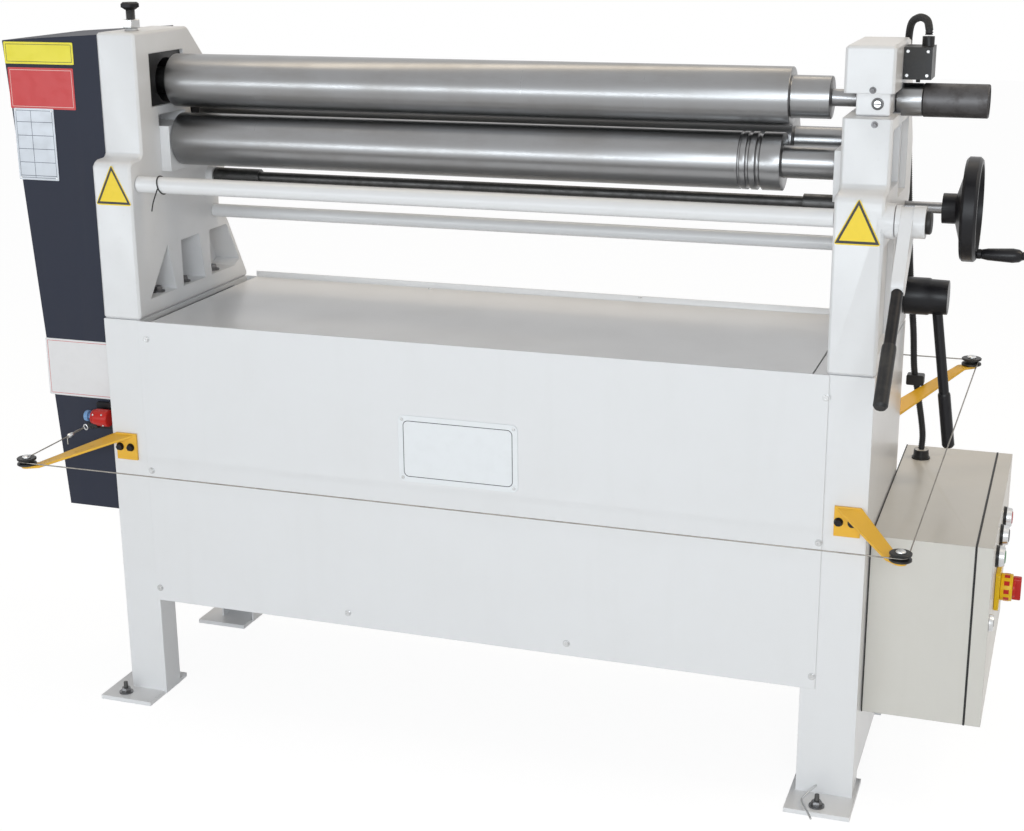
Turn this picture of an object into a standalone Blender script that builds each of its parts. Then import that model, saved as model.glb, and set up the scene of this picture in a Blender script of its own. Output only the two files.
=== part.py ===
"""Motor-driven three-roll plate bending machine, built as separate working pieces.

X runs along the rolls from the gear cover (left) to the handwheel (right), Y runs from the operator
to the back and Z is up. All lengths are in metres. Run it from Blender's text editor or with
blender --background --python part.py
"""
import math

import bmesh
import bpy
from mathutils import Matrix, Vector

# Running and seating gaps
SEAT = 0.0003
RUNNING = 0.0003
OVERRUN = 0.010

# Main frame
FRAME_GAP = 1.172
SIDE_THICKNESS = 0.073
STAND_HEIGHT = 0.706
FRAME_HEIGHT = 1.186
FRAME_FRONT = -0.150
FRAME_BACK = 0.242
UPPER_FRONT = -0.108
STEP_HEIGHT = 0.978
TABLE_SHEET = 0.002
PANEL_BOTTOM = 0.190

# Rolls
ROLL_RADIUS = 0.045
ROLL_SEGMENTS = 36
TOP_AXIS_Z = 1.100
LOWER_DROP = 0.100
PINCH_TRAVEL = 0.0095
TOP_ROLL_LEFT = -0.572
TOP_ROLL_RIGHT = 0.495
LOWER_ROLL_LEFT = -0.566
LOWER_ROLL_RIGHT = 0.485
ROLL_EDGE = 0.0015
NECK_RADIUS = 0.0325
NECK_END = 0.555
TOP_SHAFT_RADIUS = 0.013
COLLAR_RADIUS = 0.0245
COLLAR_START = 0.665
COLLAR_END = 0.690
PULL_TUBE_RADIUS = 0.025
PULL_TUBE_WALL = 0.0045
PULL_TUBE_END = 0.785
LOWER_JOURNAL_RADIUS = 0.025
REAR_JOURNAL_RADIUS = 0.022
WIRE_GROOVES = ((0.421, 0.0020), (0.434, 0.0030), (0.450, 0.0040))
GROOVE_POINTS = 2

# Self-aligning left bearing of the top roll
PIVOT_DEPTH = 0.036
PIVOT_BALL_RADIUS = 0.034
PIVOT_RING_WIDTH = 0.032
PIVOT_JOURNAL_RADIUS = 0.022
HEX_SOCKET_FLATS = 0.0232
HEX_BALL_FLATS = 0.0220
SOCKET_DEPTH = 0.034
TOP_WINDOW_Y = (-0.065, 0.050)
TOP_WINDOW_Z = (1.060, 1.149)
OUTER_WALL = 0.012

# Right top bearing block and its open slot
SLOT_HEIGHT = 0.036
SLOT_BACK = 0.033
TOP_BLOCK_X = (0.600, 0.650)
TOP_BLOCK_Y = (-0.074, 0.030)

# Lower bearing blocks
LOWER_WINDOW_HALF = 0.045
LOWER_BLOCK_ABOVE = 0.026
LOWER_BLOCK_BELOW = 0.052
LOWER_BLOCK_PROUD = 0.018
LOWER_WINDOW_TOP = 1.045
BLOCK_DEPTH = 0.050
TOE_HEIGHT = 0.010
TOE_WIDTH = 0.026
TOE_FRONT = -0.1385

# Torsion shaft, cams and pinch lever
TORSION_Y = -0.125
TORSION_Z = 0.938
TORSION_TUBE_RADIUS = 0.014
TORSION_SHAFT_RADIUS = 0.009
CAM_WIDTH = 0.022
CAM_BASE_RADIUS = 0.0097
CAM_SWING = math.radians(60)
CAM_POINTS = 9
LEVER_ANGLE = math.radians(45)
LEVER_HUB_RADIUS = 0.024
LEVER_HUB_X = (0.6735, 0.7163)
LEVER_ARM_X = (0.681, 0.699)
LEVER_ARM_LENGTH = 0.125
LEVER_ARM_WIDTH = 0.030
LEVER_ROD_RADIUS = 0.0085
LEVER_ROD_END = 0.212
LEVER_LENGTH = 0.312
LEVER_GRIP_RADIUS = 0.0105
LEVER_CAP_RADIUS = 0.017
LEVER_CAP_END = 0.7245

# Rear roll slides
REAR_SHAFT_Y = 0.120
REAR_SHAFT_Z = 0.919
REAR_TILT = math.radians(12)
REAR_RISE = 0.105
REAR_DOWN = 0.022
REAR_UP = 0.043
REAR_BLOCK_HALF = 0.028
REAR_BLOCK_BELOW = 0.040
REAR_BLOCK_PROUD = 0.018
SCREW_RADIUS = 0.008
SCREW_BELOW = 0.038
SCREW_PITCH = 0.004
MITRE_TEETH = 12
MITRE_RADIUS = 0.018
MITRE_TOE_SHARE = 0.65
MITRE_ADDENDUM = 0.0026
MITRE_DEDENDUM = 0.0034
MITRE_HUB = 0.016
MITRE_HUB_RADIUS = 0.014
MITRE_CAVITY_RADIUS = 0.027
CROSS_SHAFT_RADIUS = 0.009
COUPLING_RADIUS = 0.0135
COUPLING_LENGTH = 0.062
SHAFT_BOSS_RADIUS = 0.016
SHAFT_BOSS = 0.012

# Handwheel
WHEEL_RADIUS = 0.0825
WHEEL_HUB_X = (0.718, 0.746)
WHEEL_HUB_RADIUS = 0.024
WHEEL_RIM_X = (0.750, 0.775)
WHEEL_RIM_DEPTH = 0.013
WHEEL_WEB = 0.007
CRANK_ANGLE = math.radians(-90)
CRANK_OFFSET = 0.070
CRANK_GRIP_X = (0.782, 0.844)
CRANK_PIN_RADIUS = 0.004

# Gear train
GEAR_TEETH = 15
GEAR_MODULE = 0.006
GEAR_TIP_RADIUS = 0.0505
GEAR_ROOT_RADIUS = 0.0372
GEAR_BACKLASH = 0.0014
GEAR_X = (-0.704, -0.671)
PINION_Y = 0.0906
DRIVE_PLATE_X = (-0.7150, -0.7090)
DRIVE_PLATE_Y = (-0.090, 0.142)
DRIVE_PLATE_Z = (0.880, 1.166)
POST_RADIUS = 0.008
POST_PLACES = ((-0.078, 1.152), (-0.078, 0.900), (0.060, 0.900), (0.128, 0.990))
GEAR_SHAFT_RADIUS = 0.015

# Gearmotor
MOTOR_X = -0.768
MOTOR_Y = 0.058
MOTOR_RADIUS = 0.048
MOTOR_Z = (0.700, 1.046)
GEARBOX_HALF_X = 0.050
GEARBOX_Y = (0.022, 0.140)
GEARBOX_Z = (1.050, 1.166)
MOTOR_FINS = 12

# Gear cover
COVER_SHEET = 0.002
COVER_Y = (-0.100, 0.150)
COVER_Z = (0.335, 1.182)
COVER_TOP_LEFT = -0.850
COVER_BOTTOM_LEFT = -0.793

# Stand
LEG_SHEET = 0.004
LEG_WIDTH = 0.091
LEG_RETURN = 0.050
LEFT_LEG_WIDTH = 0.071
FOOT_THICKNESS = 0.008
FOOT_SIZE = (0.104, 0.132)
HEAD_PLATE = 0.008
PANEL_HALF = 0.592
RIGHT_SKIRT_BOTTOM = 0.030
LIP_HEIGHT = 0.011
RAIL = 0.028
TUBE_BACK_Y = 0.130
TUBE_BACK_Z = 0.852
TUBE_BACK_RADIUS = 0.012

# Release lever
RELEASE_Y = 0.190
RELEASE_Z = 0.760
RELEASE_HUB_RADIUS = 0.031
RELEASE_HUB_LENGTH = 0.070
RELEASE_ROD_RADIUS = 0.0085
RELEASE_ROD_X = 0.054
RELEASE_REACH = 0.232
RELEASE_FLARE = 0.034
RELEASE_GRIP = 0.095
RELEASE_GRIP_RADIUS = 0.0105
RELEASE_SHAFT_RADIUS = 0.011
RELEASE_SHAFT_LENGTH = 0.022

# Control cabinet
BOX_SHEET = 0.002
BOX_X = (0.6593, 0.8200)
BOX_Y = (-0.100, 0.390)
BOX_Z = (0.139, 0.439)
DOOR_X = (0.8210, 0.8450)
BUTTON_ROW = (0.000, 0.100, 0.190)
BUTTON_Z = 0.390
BUTTON_RADIUS = 0.011
BEZEL_RADIUS = 0.015
BEZEL_DEPTH = 0.009
BUTTON_PROUD = 0.015
BUTTON_TRAVEL = 0.004
SWITCH_Y = 0.070
SWITCH_Z = 0.312
SWITCH_PLATE = 0.064
LOCK_Y = -0.070
LOCK_Z = 0.305
HINGE_RADIUS = 0.004

# Limit switch and its conduit
LIMIT_X = (0.6593, 0.7005)
LIMIT_Y = (-0.020, 0.038)
LIMIT_Z = (1.131, 1.178)
CONDUIT_RADIUS = 0.006
GLAND_RADIUS = 0.009

# Trip wire
WIRE_RADIUS = 0.0015
PULLEY_RADIUS = 0.017
PULLEY_GROOVE_RADIUS = 0.0095
PULLEY_WIDTH = 0.013
PULLEY_PIN_RADIUS = 0.004
ARM_SHEET = 0.004
ARM_PLATE_HEIGHT = 0.048
ARM_PLATE_WIDTH = 0.040
FRONT_ARM_Z = 0.457
REAR_ARM_Z = 0.607
ARM_ROOTS = ((-0.630, -1), (0.629, -1), (0.629, 1), (-0.630, 1))
PULLEY_PLACES = ((-0.775, -0.245), (0.720, -0.240), (0.765, 0.350), (-0.765, 0.350))


COLOURS = {
    "frame_paint": (0.86, 0.87, 0.88, 0.0, 0.38),
    "inner_paint": (0.80, 0.79, 0.76, 0.0, 0.45),
    "cover_paint": (0.055, 0.065, 0.095, 0.0, 0.50),
    "cabinet_paint": (0.72, 0.72, 0.68, 0.0, 0.48),
    "ground_steel": (0.66, 0.66, 0.66, 1.0, 0.24),
    "dark_steel": (0.16, 0.16, 0.17, 0.9, 0.50),
    "black_oxide": (0.03, 0.03, 0.03, 0.6, 0.45),
    "black_plastic": (0.015, 0.015, 0.017, 0.0, 0.38),
    "cast_black": (0.02, 0.02, 0.022, 0.0, 0.60),
    "zinc": (0.70, 0.71, 0.73, 1.0, 0.32),
    "bronze": (0.65, 0.45, 0.22, 1.0, 0.38),
    "safety_yellow": (0.90, 0.58, 0.03, 0.0, 0.42),
    "signal_red": (0.72, 0.04, 0.03, 0.0, 0.40),
    "reset_blue": (0.25, 0.42, 0.70, 0.0, 0.40),
    "start_green": (0.03, 0.35, 0.10, 0.0, 0.40),
    "motor_grey": (0.30, 0.33, 0.36, 0.3, 0.50),
    "bare_plate": (0.82, 0.82, 0.82, 0.6, 0.35),
}

INNER = FRAME_GAP / 2
OUTER = INNER + SIDE_THICKNESS
MIDDLE = INNER + SIDE_THICKNESS / 2
LOWER_AXIS_Z = TOP_AXIS_Z - LOWER_DROP
PIVOT_X = -(INNER + PIVOT_DEPTH)
SLIDE_UP = Vector((0.0, -math.sin(REAR_TILT), math.cos(REAR_TILT)))
SLIDE_ACROSS = Vector((0.0, math.cos(REAR_TILT), math.sin(REAR_TILT)))
SHAFT_POINT = Vector((0.0, REAR_SHAFT_Y, REAR_SHAFT_Z))
REAR_AXIS = SHAFT_POINT + SLIDE_UP * REAR_RISE
CAM_RATE = PINCH_TRAVEL / CAM_SWING
BOX_BACK = BOX_Y[1]
EMPTIES = {}


# Scene and material helpers

def clear_scene():
    for item in list(bpy.data.objects):
        bpy.data.objects.remove(item, do_unlink=True)


def material(name):
    found = bpy.data.materials.get(name)
    if found:
        return found
    red, green, blue, metallic, roughness = COLOURS[name]
    made = bpy.data.materials.new(name)
    made.use_nodes = True
    shader = made.node_tree.nodes["Principled BSDF"]
    shader.inputs["Base Color"].default_value = (red, green, blue, 1.0)
    shader.inputs["Metallic"].default_value = metallic
    shader.inputs["Roughness"].default_value = roughness
    made.diffuse_color = (red, green, blue, 1.0)
    return made


def pivot(name, place, parent=None):
    """An empty on a joint's axis, which carries the pieces that move on it."""
    empty = bpy.data.objects.new(name, None)
    bpy.context.collection.objects.link(empty)
    empty.empty_display_size = ROLL_RADIUS
    if parent:
        empty.parent = parent
        empty.location = Vector(place) - world_place(parent)
    else:
        empty.location = Vector(place)
    EMPTIES[name] = Vector(place)
    return empty


def world_place(empty):
    return EMPTIES[empty.name]


def add_object(name, mesh_data, finish, parent=None):
    made = bpy.data.objects.new(name, mesh_data)
    bpy.context.collection.objects.link(made)
    mesh_data.materials.append(material(finish))
    if parent:
        mesh_data.transform(Matrix.Translation(-world_place(parent)))
        made.parent = parent
    return made


def fused(name, pieces, finish, parent=None):
    """One node whose overlapping pieces are joined into a single body."""
    body = solid(name, pieces[:1], finish, parent)
    for index, piece in enumerate(pieces[1:]):
        tool = solid(f"{name}_join_{index}", [piece], finish, parent)
        tool.hide_render = True
        tool.display_type = "WIRE"
        step = body.modifiers.new(f"join_{index}", "BOOLEAN")
        step.operation = "UNION"
        step.solver = "EXACT"
        step.object = tool
    return body


def solid(name, pieces, finish, parent=None):
    """One node from one or more closed bodies that don't touch."""
    whole = bmesh.new()
    for piece in pieces:
        scratch = bpy.data.meshes.new("scratch")
        piece.to_mesh(scratch)
        piece.free()
        whole.from_mesh(scratch)
        bpy.data.meshes.remove(scratch)
    bmesh.ops.recalc_face_normals(whole, faces=whole.faces)
    mesh_data = bpy.data.meshes.new(name)
    whole.to_mesh(mesh_data)
    whole.free()
    return add_object(name, mesh_data, finish, parent)


def cut(target, name, pieces):
    """Takes the pieces out of the target with an exact Boolean."""
    tool = solid(name, pieces, "dark_steel", target.parent)
    tool.hide_render = True
    tool.display_type = "WIRE"
    step = target.modifiers.new(name, "BOOLEAN")
    step.operation = "DIFFERENCE"
    step.solver = "EXACT"
    step.object = tool


def soften(target, width, segments=1):
    """Rounds the sharp edges before any later Boolean."""
    step = target.modifiers.new("edge_rounding", "BEVEL")
    step.width = width
    step.segments = segments
    step.limit_method = "ANGLE"
    step.angle_limit = math.radians(40)


# Shape helpers

def ring_stack(rings, closed_ring=False):
    """A closed body from rings of equal point counts, capped at both ends or joined end to end."""
    shape = bmesh.new()
    loops = [[shape.verts.new(point) for point in ring] for ring in rings]
    count = len(loops[0])
    pairs = list(zip(loops, loops[1:]))
    if closed_ring:
        pairs.append((loops[-1], loops[0]))
    for first, second in pairs:
        for index in range(count):
            after = (index + 1) % count
            shape.faces.new((first[index], first[after], second[after], second[index]))
    if not closed_ring:
        shape.faces.new(loops[0][::-1])
        shape.faces.new(loops[-1])
    bmesh.ops.recalc_face_normals(shape, faces=shape.faces)
    return shape


def frame_of(axis):
    axis = Vector(axis).normalized()
    helper = Vector((0, 0, 1)) if abs(axis.z) < 0.9 else Vector((0, 1, 0))
    side = axis.cross(helper).normalized()
    return axis, side, axis.cross(side).normalized()


def circle(centre, axis, radius, segments, turn=0.0):
    axis, side, up = frame_of(axis)
    steps = [turn + math.tau * index / segments for index in range(segments)]
    return [Vector(centre) + radius * (math.cos(a) * side + math.sin(a) * up) for a in steps]


def turned(centre, axis, profile, segments):
    """A turned body: profile lists (distance along the axis, radius)."""
    axis = Vector(axis).normalized()
    return ring_stack([circle(Vector(centre) + axis * along, axis, radius, segments)
                       for along, radius in profile])


def turned_x(profile, y, z, segments=16):
    return turned((0, y, z), (1, 0, 0), profile, segments)


def rod(start, end, radius, segments=16):
    start, end = Vector(start), Vector(end)
    axis = end - start
    return ring_stack([circle(start, axis, radius, segments), circle(end, axis, radius, segments)])


def rod_x(x_start, x_end, y, z, radius, segments=16):
    return rod((x_start, y, z), (x_end, y, z), radius, segments)


def sleeve(start, end, outer, inner, segments=24):
    start, end = Vector(start), Vector(end)
    axis = end - start
    return ring_stack([circle(start, axis, outer, segments), circle(end, axis, outer, segments),
                       circle(end, axis, inner, segments), circle(start, axis, inner, segments)], True)


def block(x_span, y_span, z_span):
    low = Vector((x_span[0], y_span[0], z_span[0]))
    high = Vector((x_span[1], y_span[1], z_span[1]))
    outline = [(low.x, low.y), (high.x, low.y), (high.x, high.y), (low.x, high.y)]
    return prism_z(outline, low.z, high.z)


def prism_z(outline, z_low, z_high):
    return ring_stack([[Vector((x, y, z)) for x, y in outline] for z in (z_low, z_high)])


def prism_x(outline, x_low, x_high):
    return ring_stack([[Vector((x, y, z)) for y, z in outline] for x in (x_low, x_high)])


def prism_y(outline, y_low, y_high):
    return ring_stack([[Vector((x, y, z)) for x, z in outline] for y in (y_low, y_high)])


def prism_along(outline, origin, across, up, x_low, x_high):
    """A prism along X whose outline is given in a tilted frame."""
    origin = Vector(origin)
    points = [origin + across * a + up * b for a, b in outline]
    return ring_stack([[Vector((x, p.y, p.z)) for p in points] for x in (x_low, x_high)])


def rounded_outline(x_span, z_span, radius, steps=3):
    points = []
    corners = ((x_span[1], z_span[1], 0), (x_span[0], z_span[1], 1),
               (x_span[0], z_span[0], 2), (x_span[1], z_span[0], 3))
    for x, z, quarter in corners:
        inward_x = -radius if x == x_span[1] else radius
        inward_z = -radius if z == z_span[1] else radius
        for step in range(steps + 1):
            angle = math.pi / 2 * (quarter + step / steps)
            points.append((x + inward_x + radius * math.cos(angle), z + inward_z + radius * math.sin(angle)))
    return points


def hull(points):
    """Convex outline round the points, counter-clockwise."""
    ordered = sorted(set((round(a, 7), round(b, 7)) for a, b in points))

    def half(sequence):
        chain = []
        for point in sequence:
            while len(chain) > 1 and turn_of(chain[-2], chain[-1], point) <= 0:
                chain.pop()
            chain.append(point)
        return chain[:-1]

    return half(ordered) + half(ordered[::-1])


def turn_of(first, second, third):
    return ((second[0] - first[0]) * (third[1] - first[1])
            - (second[1] - first[1]) * (third[0] - first[0]))


def side_span(side, inner_offset, outer_offset):
    """X span of a piece on the left (-1) or right (+1), from offsets beyond the inner face."""
    ends = sorted((side * (INNER + inner_offset), side * (INNER + outer_offset)))
    return tuple(ends)


def cord(name, points, radius, finish, parent=None):
    """A round cord along a polyline, as a bevelled curve with filled ends."""
    data = bpy.data.curves.new(name, "CURVE")
    data.dimensions = "3D"
    data.bevel_depth = radius
    data.bevel_resolution = 1
    data.use_fill_caps = True
    line = data.splines.new("POLY")
    line.points.add(len(points) - 1)
    offset = world_place(parent) if parent else Vector((0, 0, 0))
    for slot, point in zip(line.points, points):
        slot.co = (*(Vector(point) - offset), 1.0)
    made = bpy.data.objects.new(name, data)
    bpy.context.collection.objects.link(made)
    data.materials.append(material(finish))
    if parent:
        made.parent = parent
    return made


def smooth_route(points, per_span=2):
    """Points along a Catmull-Rom curve through the hand-placed ones."""
    knots = [Vector(p) for p in points]
    knots = [knots[0] * 2 - knots[1]] + knots + [knots[-1] * 2 - knots[-2]]
    route = []
    for index in range(1, len(knots) - 2):
        a, b, c, d = knots[index - 1:index + 3]
        for step in range(per_span):
            t = step / per_span
            route.append(0.5 * (2 * b + (c - a) * t + (2 * a - 5 * b + 4 * c - d) * t ** 2
                                + (3 * b - a - 3 * c + d) * t ** 3))
    route.append(knots[-2])
    return route


# Side castings

def casting_outline():
    """Side profile (Y, Z) of a casting: stepped front, chamfered top, slide housing and flared foot."""
    foot = STAND_HEIGHT + SEAT
    shoulder = TOP_AXIS_Z - ROLL_RADIUS
    return [
        (FRAME_FRONT, foot),
        (FRAME_FRONT, STEP_HEIGHT - SIDE_THICKNESS * 0.12),
        (FRAME_FRONT + SIDE_THICKNESS * 0.12, STEP_HEIGHT),
        (UPPER_FRONT - SIDE_THICKNESS * 0.08, STEP_HEIGHT + SIDE_THICKNESS * 0.02),
        (UPPER_FRONT, STEP_HEIGHT + SIDE_THICKNESS * 0.12),
        (UPPER_FRONT, FRAME_HEIGHT),
        (TOP_WINDOW_Y[1] + ROLL_RADIUS / 2, FRAME_HEIGHT),
        (TOP_WINDOW_Y[1] + ROLL_RADIUS * 5 / 3, TOP_WINDOW_Z[1] - ROLL_RADIUS / 3),
        (REAR_SHAFT_Y + REAR_BLOCK_HALF, shoulder + ROLL_RADIUS / 4),
        (FRAME_BACK * 0.76, shoulder - ROLL_RADIUS * 0.75),
        (FRAME_BACK * 0.76, REAR_SHAFT_Z + SIDE_THICKNESS * 0.15),
        (FRAME_BACK * 0.62, REAR_SHAFT_Z - SIDE_THICKNESS * 0.45),
        (FRAME_BACK * 0.62, TUBE_BACK_Z + TUBE_BACK_RADIUS),
        (FRAME_BACK * 0.74, STAND_HEIGHT + FOOT_SIZE[1] * 0.92),
        (FRAME_BACK, STAND_HEIGHT + LIP_HEIGHT),
        (FRAME_BACK, foot),
    ]


def foot_pockets(side):
    """Three tapered pockets above the casting's bolting foot."""
    floor_z = STAND_HEIGHT + 0.030
    top_z = STAND_HEIGHT + 0.113
    shares = (((0.10, 0), (0.325, 0), (0.27, 1)),
              ((0.39, 0), (0.592, 0), (0.552, 1), (0.388, 1)),
              ((0.648, 0.28), (0.655, 0.0), (0.87, 0.0), (0.925, 0.12), (0.817, 1), (0.652, 1)))
    span = side_span(side, -OVERRUN, POCKET_DEPTH)
    depth = FRAME_BACK - FRAME_FRONT
    pockets = []
    for outline in shares:
        points = [(FRAME_FRONT + depth * a, floor_z + (top_z - floor_z) * b) for a, b in outline]
        pockets.append(prism_x(points, *span))
    return pockets


POCKET_DEPTH = 0.048


def slide_outline(above, below, half):
    """Outline of a rear slide: straight sides and a round top, centred on the roll's axis."""
    arc = [(half * math.cos(math.pi * step / 8), above + half * math.sin(math.pi * step / 8))
           for step in range(9)]
    return [(half, -below)] + arc + [(-half, -below)]


def mitre_cavity(side):
    centre = Vector((side * MIDDLE, REAR_SHAFT_Y, REAR_SHAFT_Z))
    low = centre - SLIDE_UP * (MITRE_RADIUS + MITRE_ADDENDUM + RUNNING * 3)
    high = centre + SLIDE_UP * (MITRE_RADIUS + MITRE_HUB + RUNNING)
    return rod(low, high, MITRE_CAVITY_RADIUS, 24)


def casting_cutters(side):
    """Everything milled out of a side casting."""
    rear_slot = slide_outline(REAR_UP + RUNNING, REAR_DOWN + REAR_BLOCK_BELOW + RUNNING, REAR_BLOCK_HALF + RUNNING)
    centre_x = side * MIDDLE
    shaft_low = Vector((centre_x, REAR_SHAFT_Y, REAR_SHAFT_Z)) - SLIDE_UP * (SCREW_BELOW + REAR_DOWN + RUNNING * 4)
    shaft_high = Vector((centre_x, REAR_AXIS.y, REAR_AXIS.z))
    bottom = LOWER_AXIS_Z - LOWER_BLOCK_BELOW - SEAT
    cam_x = sorted((centre_x - TOE_WIDTH / 2 - RUNNING * 4, centre_x + TOE_WIDTH / 2 + RUNNING * 4))
    toe_top = bottom + TOE_HEIGHT + PINCH_TRAVEL + SEAT * 4
    cutters = {
        "lower_window": block(side_span(side, -OVERRUN, BLOCK_DEPTH + SEAT),
                              (-LOWER_WINDOW_HALF - RUNNING, LOWER_WINDOW_HALF + RUNNING),
                              (bottom, LOWER_WINDOW_TOP)),
        "cam_cavity": block(cam_x, (FRAME_FRONT + CAM_WALL, -LOWER_WINDOW_HALF),
                            (TORSION_Z - CAM_BASE_RADIUS - PINCH_TRAVEL - SEAT * 10, toe_top)),
        "rear_slot": prism_along(rear_slot, REAR_AXIS, SLIDE_ACROSS, SLIDE_UP,
                                 *side_span(side, -OVERRUN, BLOCK_DEPTH + SEAT)),
        "screw_bore": rod(shaft_low, shaft_high, SCREW_RADIUS + RUNNING * 3, 16),
        "mitre_cavity": mitre_cavity(side),
        "torsion_bore": rod_x(*side_span(side, -OVERRUN, SIDE_THICKNESS * 0.80 if side < 0 else
                                         SIDE_THICKNESS + BOSS_LENGTH + OVERRUN),
                              TORSION_Y, TORSION_Z, TORSION_SHAFT_RADIUS + RUNNING, 20),
    }
    return cutters


BOSS_LENGTH = 0.0135
CAM_WALL = 0.003


def side_casting(side):
    name = "left_side_casting" if side < 0 else "right_side_casting"
    casting = solid(name, [prism_x(casting_outline(), *side_span(side, 0, SIDE_THICKNESS))], "frame_paint")
    soften(casting, 0.004)
    bosses = [rod_x(*side_span(side, -SHAFT_BOSS, SIDE_THICKNESS / 8), REAR_SHAFT_Y, REAR_SHAFT_Z,
                    SHAFT_BOSS_RADIUS, 20)]
    if side > 0:
        bosses.append(rod_x(*side_span(side, SIDE_THICKNESS * 7 / 8, SIDE_THICKNESS + BOSS_LENGTH),
                            TORSION_Y, TORSION_Z, LEVER_HUB_RADIUS + 0.002, 24))
    extra = solid(name + "_bosses", bosses, "frame_paint")
    extra.hide_render = True
    extra.display_type = "WIRE"
    join = casting.modifiers.new("bosses", "BOOLEAN")
    join.operation = "UNION"
    join.solver = "EXACT"
    join.object = extra
    for label, piece in casting_cutters(side).items():
        cut(casting, f"{name}_{label}", [piece])
    cut(casting, name + "_pockets", foot_pockets(side))
    if side < 0:
        left_only_cuts(casting, name)
    else:
        right_only_cuts(casting, name)
    return casting


def left_only_cuts(casting, name):
    cut(casting, name + "_top_window", [block(side_span(-1, -OVERRUN, SIDE_THICKNESS - OUTER_WALL),
                                             TOP_WINDOW_Y, TOP_WINDOW_Z)])
    bush = GEAR_SHAFT_RADIUS + BUSH_WALL + SEAT
    cut(casting, name + "_bush_bore", [rod_x(-OUTER - OVERRUN, -INNER - SIDE_THICKNESS / 2, 0.0, TOP_AXIS_Z,
                                             bush, 24)])
    tail = LOWER_TAIL_RADIUS + RUNNING * 6
    cut(casting, name + "_tail_slot", [block((-OUTER - OVERRUN, -MIDDLE), (-tail, tail),
                                             (LOWER_AXIS_Z - tail, LOWER_AXIS_Z + PINCH_TRAVEL + tail))])
    cut(casting, name + "_adjuster_bore", [rod((PIVOT_X, ADJUSTER_Y, FRAME_HEIGHT + OVERRUN),
                                               (PIVOT_X, ADJUSTER_Y, TOP_WINDOW_Z[1] - OVERRUN),
                                               ADJUSTER_RADIUS + SEAT, 16)])
    cut(casting, name + "_shaft_bore", [rod_x(*side_span(-1, -SHAFT_BOSS - OVERRUN, SIDE_THICKNESS / 3),
                                              REAR_SHAFT_Y, REAR_SHAFT_Z, CROSS_SHAFT_RADIUS + RUNNING, 20)])
    cut(casting, name + "_tie_seat", [rod_x(*side_span(-1, -OVERRUN, TIE_SEAT), TUBE_BACK_Y, TUBE_BACK_Z,
                                            TUBE_BACK_RADIUS + SEAT, 20)])


def right_only_cuts(casting, name):
    half = SLOT_HEIGHT / 2
    cut(casting, name + "_top_slot", [block((INNER - OVERRUN, OUTER + OVERRUN), (FRAME_FRONT - OVERRUN, SLOT_BACK),
                                            (TOP_AXIS_Z - half, TOP_AXIS_Z + half))])
    cut(casting, name + "_shaft_bore", [rod_x(INNER - SHAFT_BOSS - OVERRUN, OUTER + OVERRUN,
                                              REAR_SHAFT_Y, REAR_SHAFT_Z, CROSS_SHAFT_RADIUS + RUNNING, 20)])
    cut(casting, name + "_tie_seat", [rod_x(INNER - OVERRUN, INNER + TIE_SEAT, TUBE_BACK_Y, TUBE_BACK_Z,
                                            TUBE_BACK_RADIUS + SEAT, 20)])
    cut(casting, name + "_release_bore", [rod_x(OUTER - RELEASE_SHAFT_LENGTH, OUTER + OVERRUN,
                                                RELEASE_Y, RELEASE_Z, RELEASE_SHAFT_RADIUS + RUNNING, 20)])
    cut(casting, name + "_side_reliefs", outer_reliefs())


def outer_reliefs():
    """Shallow cast recesses between ribs on the right casting's outer face."""
    span = (OUTER - RELIEF_DEPTH, OUTER + OVERRUN)
    rib = RELIEF_DEPTH
    top = TOP_AXIS_Z - SLOT_HEIGHT
    low = STAND_HEIGHT + FOOT_SIZE[1] * 0.25
    front = UPPER_FRONT + rib * 1.5
    middle = (front + REAR_SHAFT_Y) / 2 - rib
    pocket_top = TORSION_Z - LEVER_HUB_RADIUS * 1.6
    return [
        block(span, (front, middle - rib / 2), (TORSION_Z + LEVER_HUB_RADIUS * 1.6, top)),
        block(span, (middle + rib / 2, REAR_SHAFT_Y - SHAFT_BOSS_RADIUS), (REAR_SHAFT_Z + SHAFT_BOSS_RADIUS * 2, top)),
        block(span, (FRAME_FRONT + rib * 1.5, middle - rib / 2), (low, pocket_top)),
        block(span, (middle + rib / 2, RELEASE_Y - RELEASE_HUB_RADIUS - rib), (low, REAR_SHAFT_Z - SHAFT_BOSS_RADIUS * 2)),
    ]


RELIEF_DEPTH = 0.010
TIE_SEAT = 0.008
BUSH_WALL = 0.003
LOWER_TAIL_RADIUS = 0.014
ADJUSTER_Y = -0.047
ADJUSTER_RADIUS = 0.007
ADJUSTER_HEAD = 0.0155
ADJUSTER_NUT = 0.0125
ADJUSTER_HEAD_Z = (0.0355, 0.0475)


# Top roll, its pivot and its block

def roll_body(left, right):
    return [(left, ROLL_RADIUS - ROLL_EDGE), (left + ROLL_EDGE, ROLL_RADIUS),
            (right - ROLL_EDGE, ROLL_RADIUS), (right, ROLL_RADIUS - ROLL_EDGE)]


def ball_profile(radius, half_width, steps=4):
    """Radii of a ball's zone, from one side of its centre to the other."""
    return [(-half_width + 2 * half_width * s / steps,
             math.sqrt(radius ** 2 - (-half_width + 2 * half_width * s / steps) ** 2))
            for s in range(steps + 1)]


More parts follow.
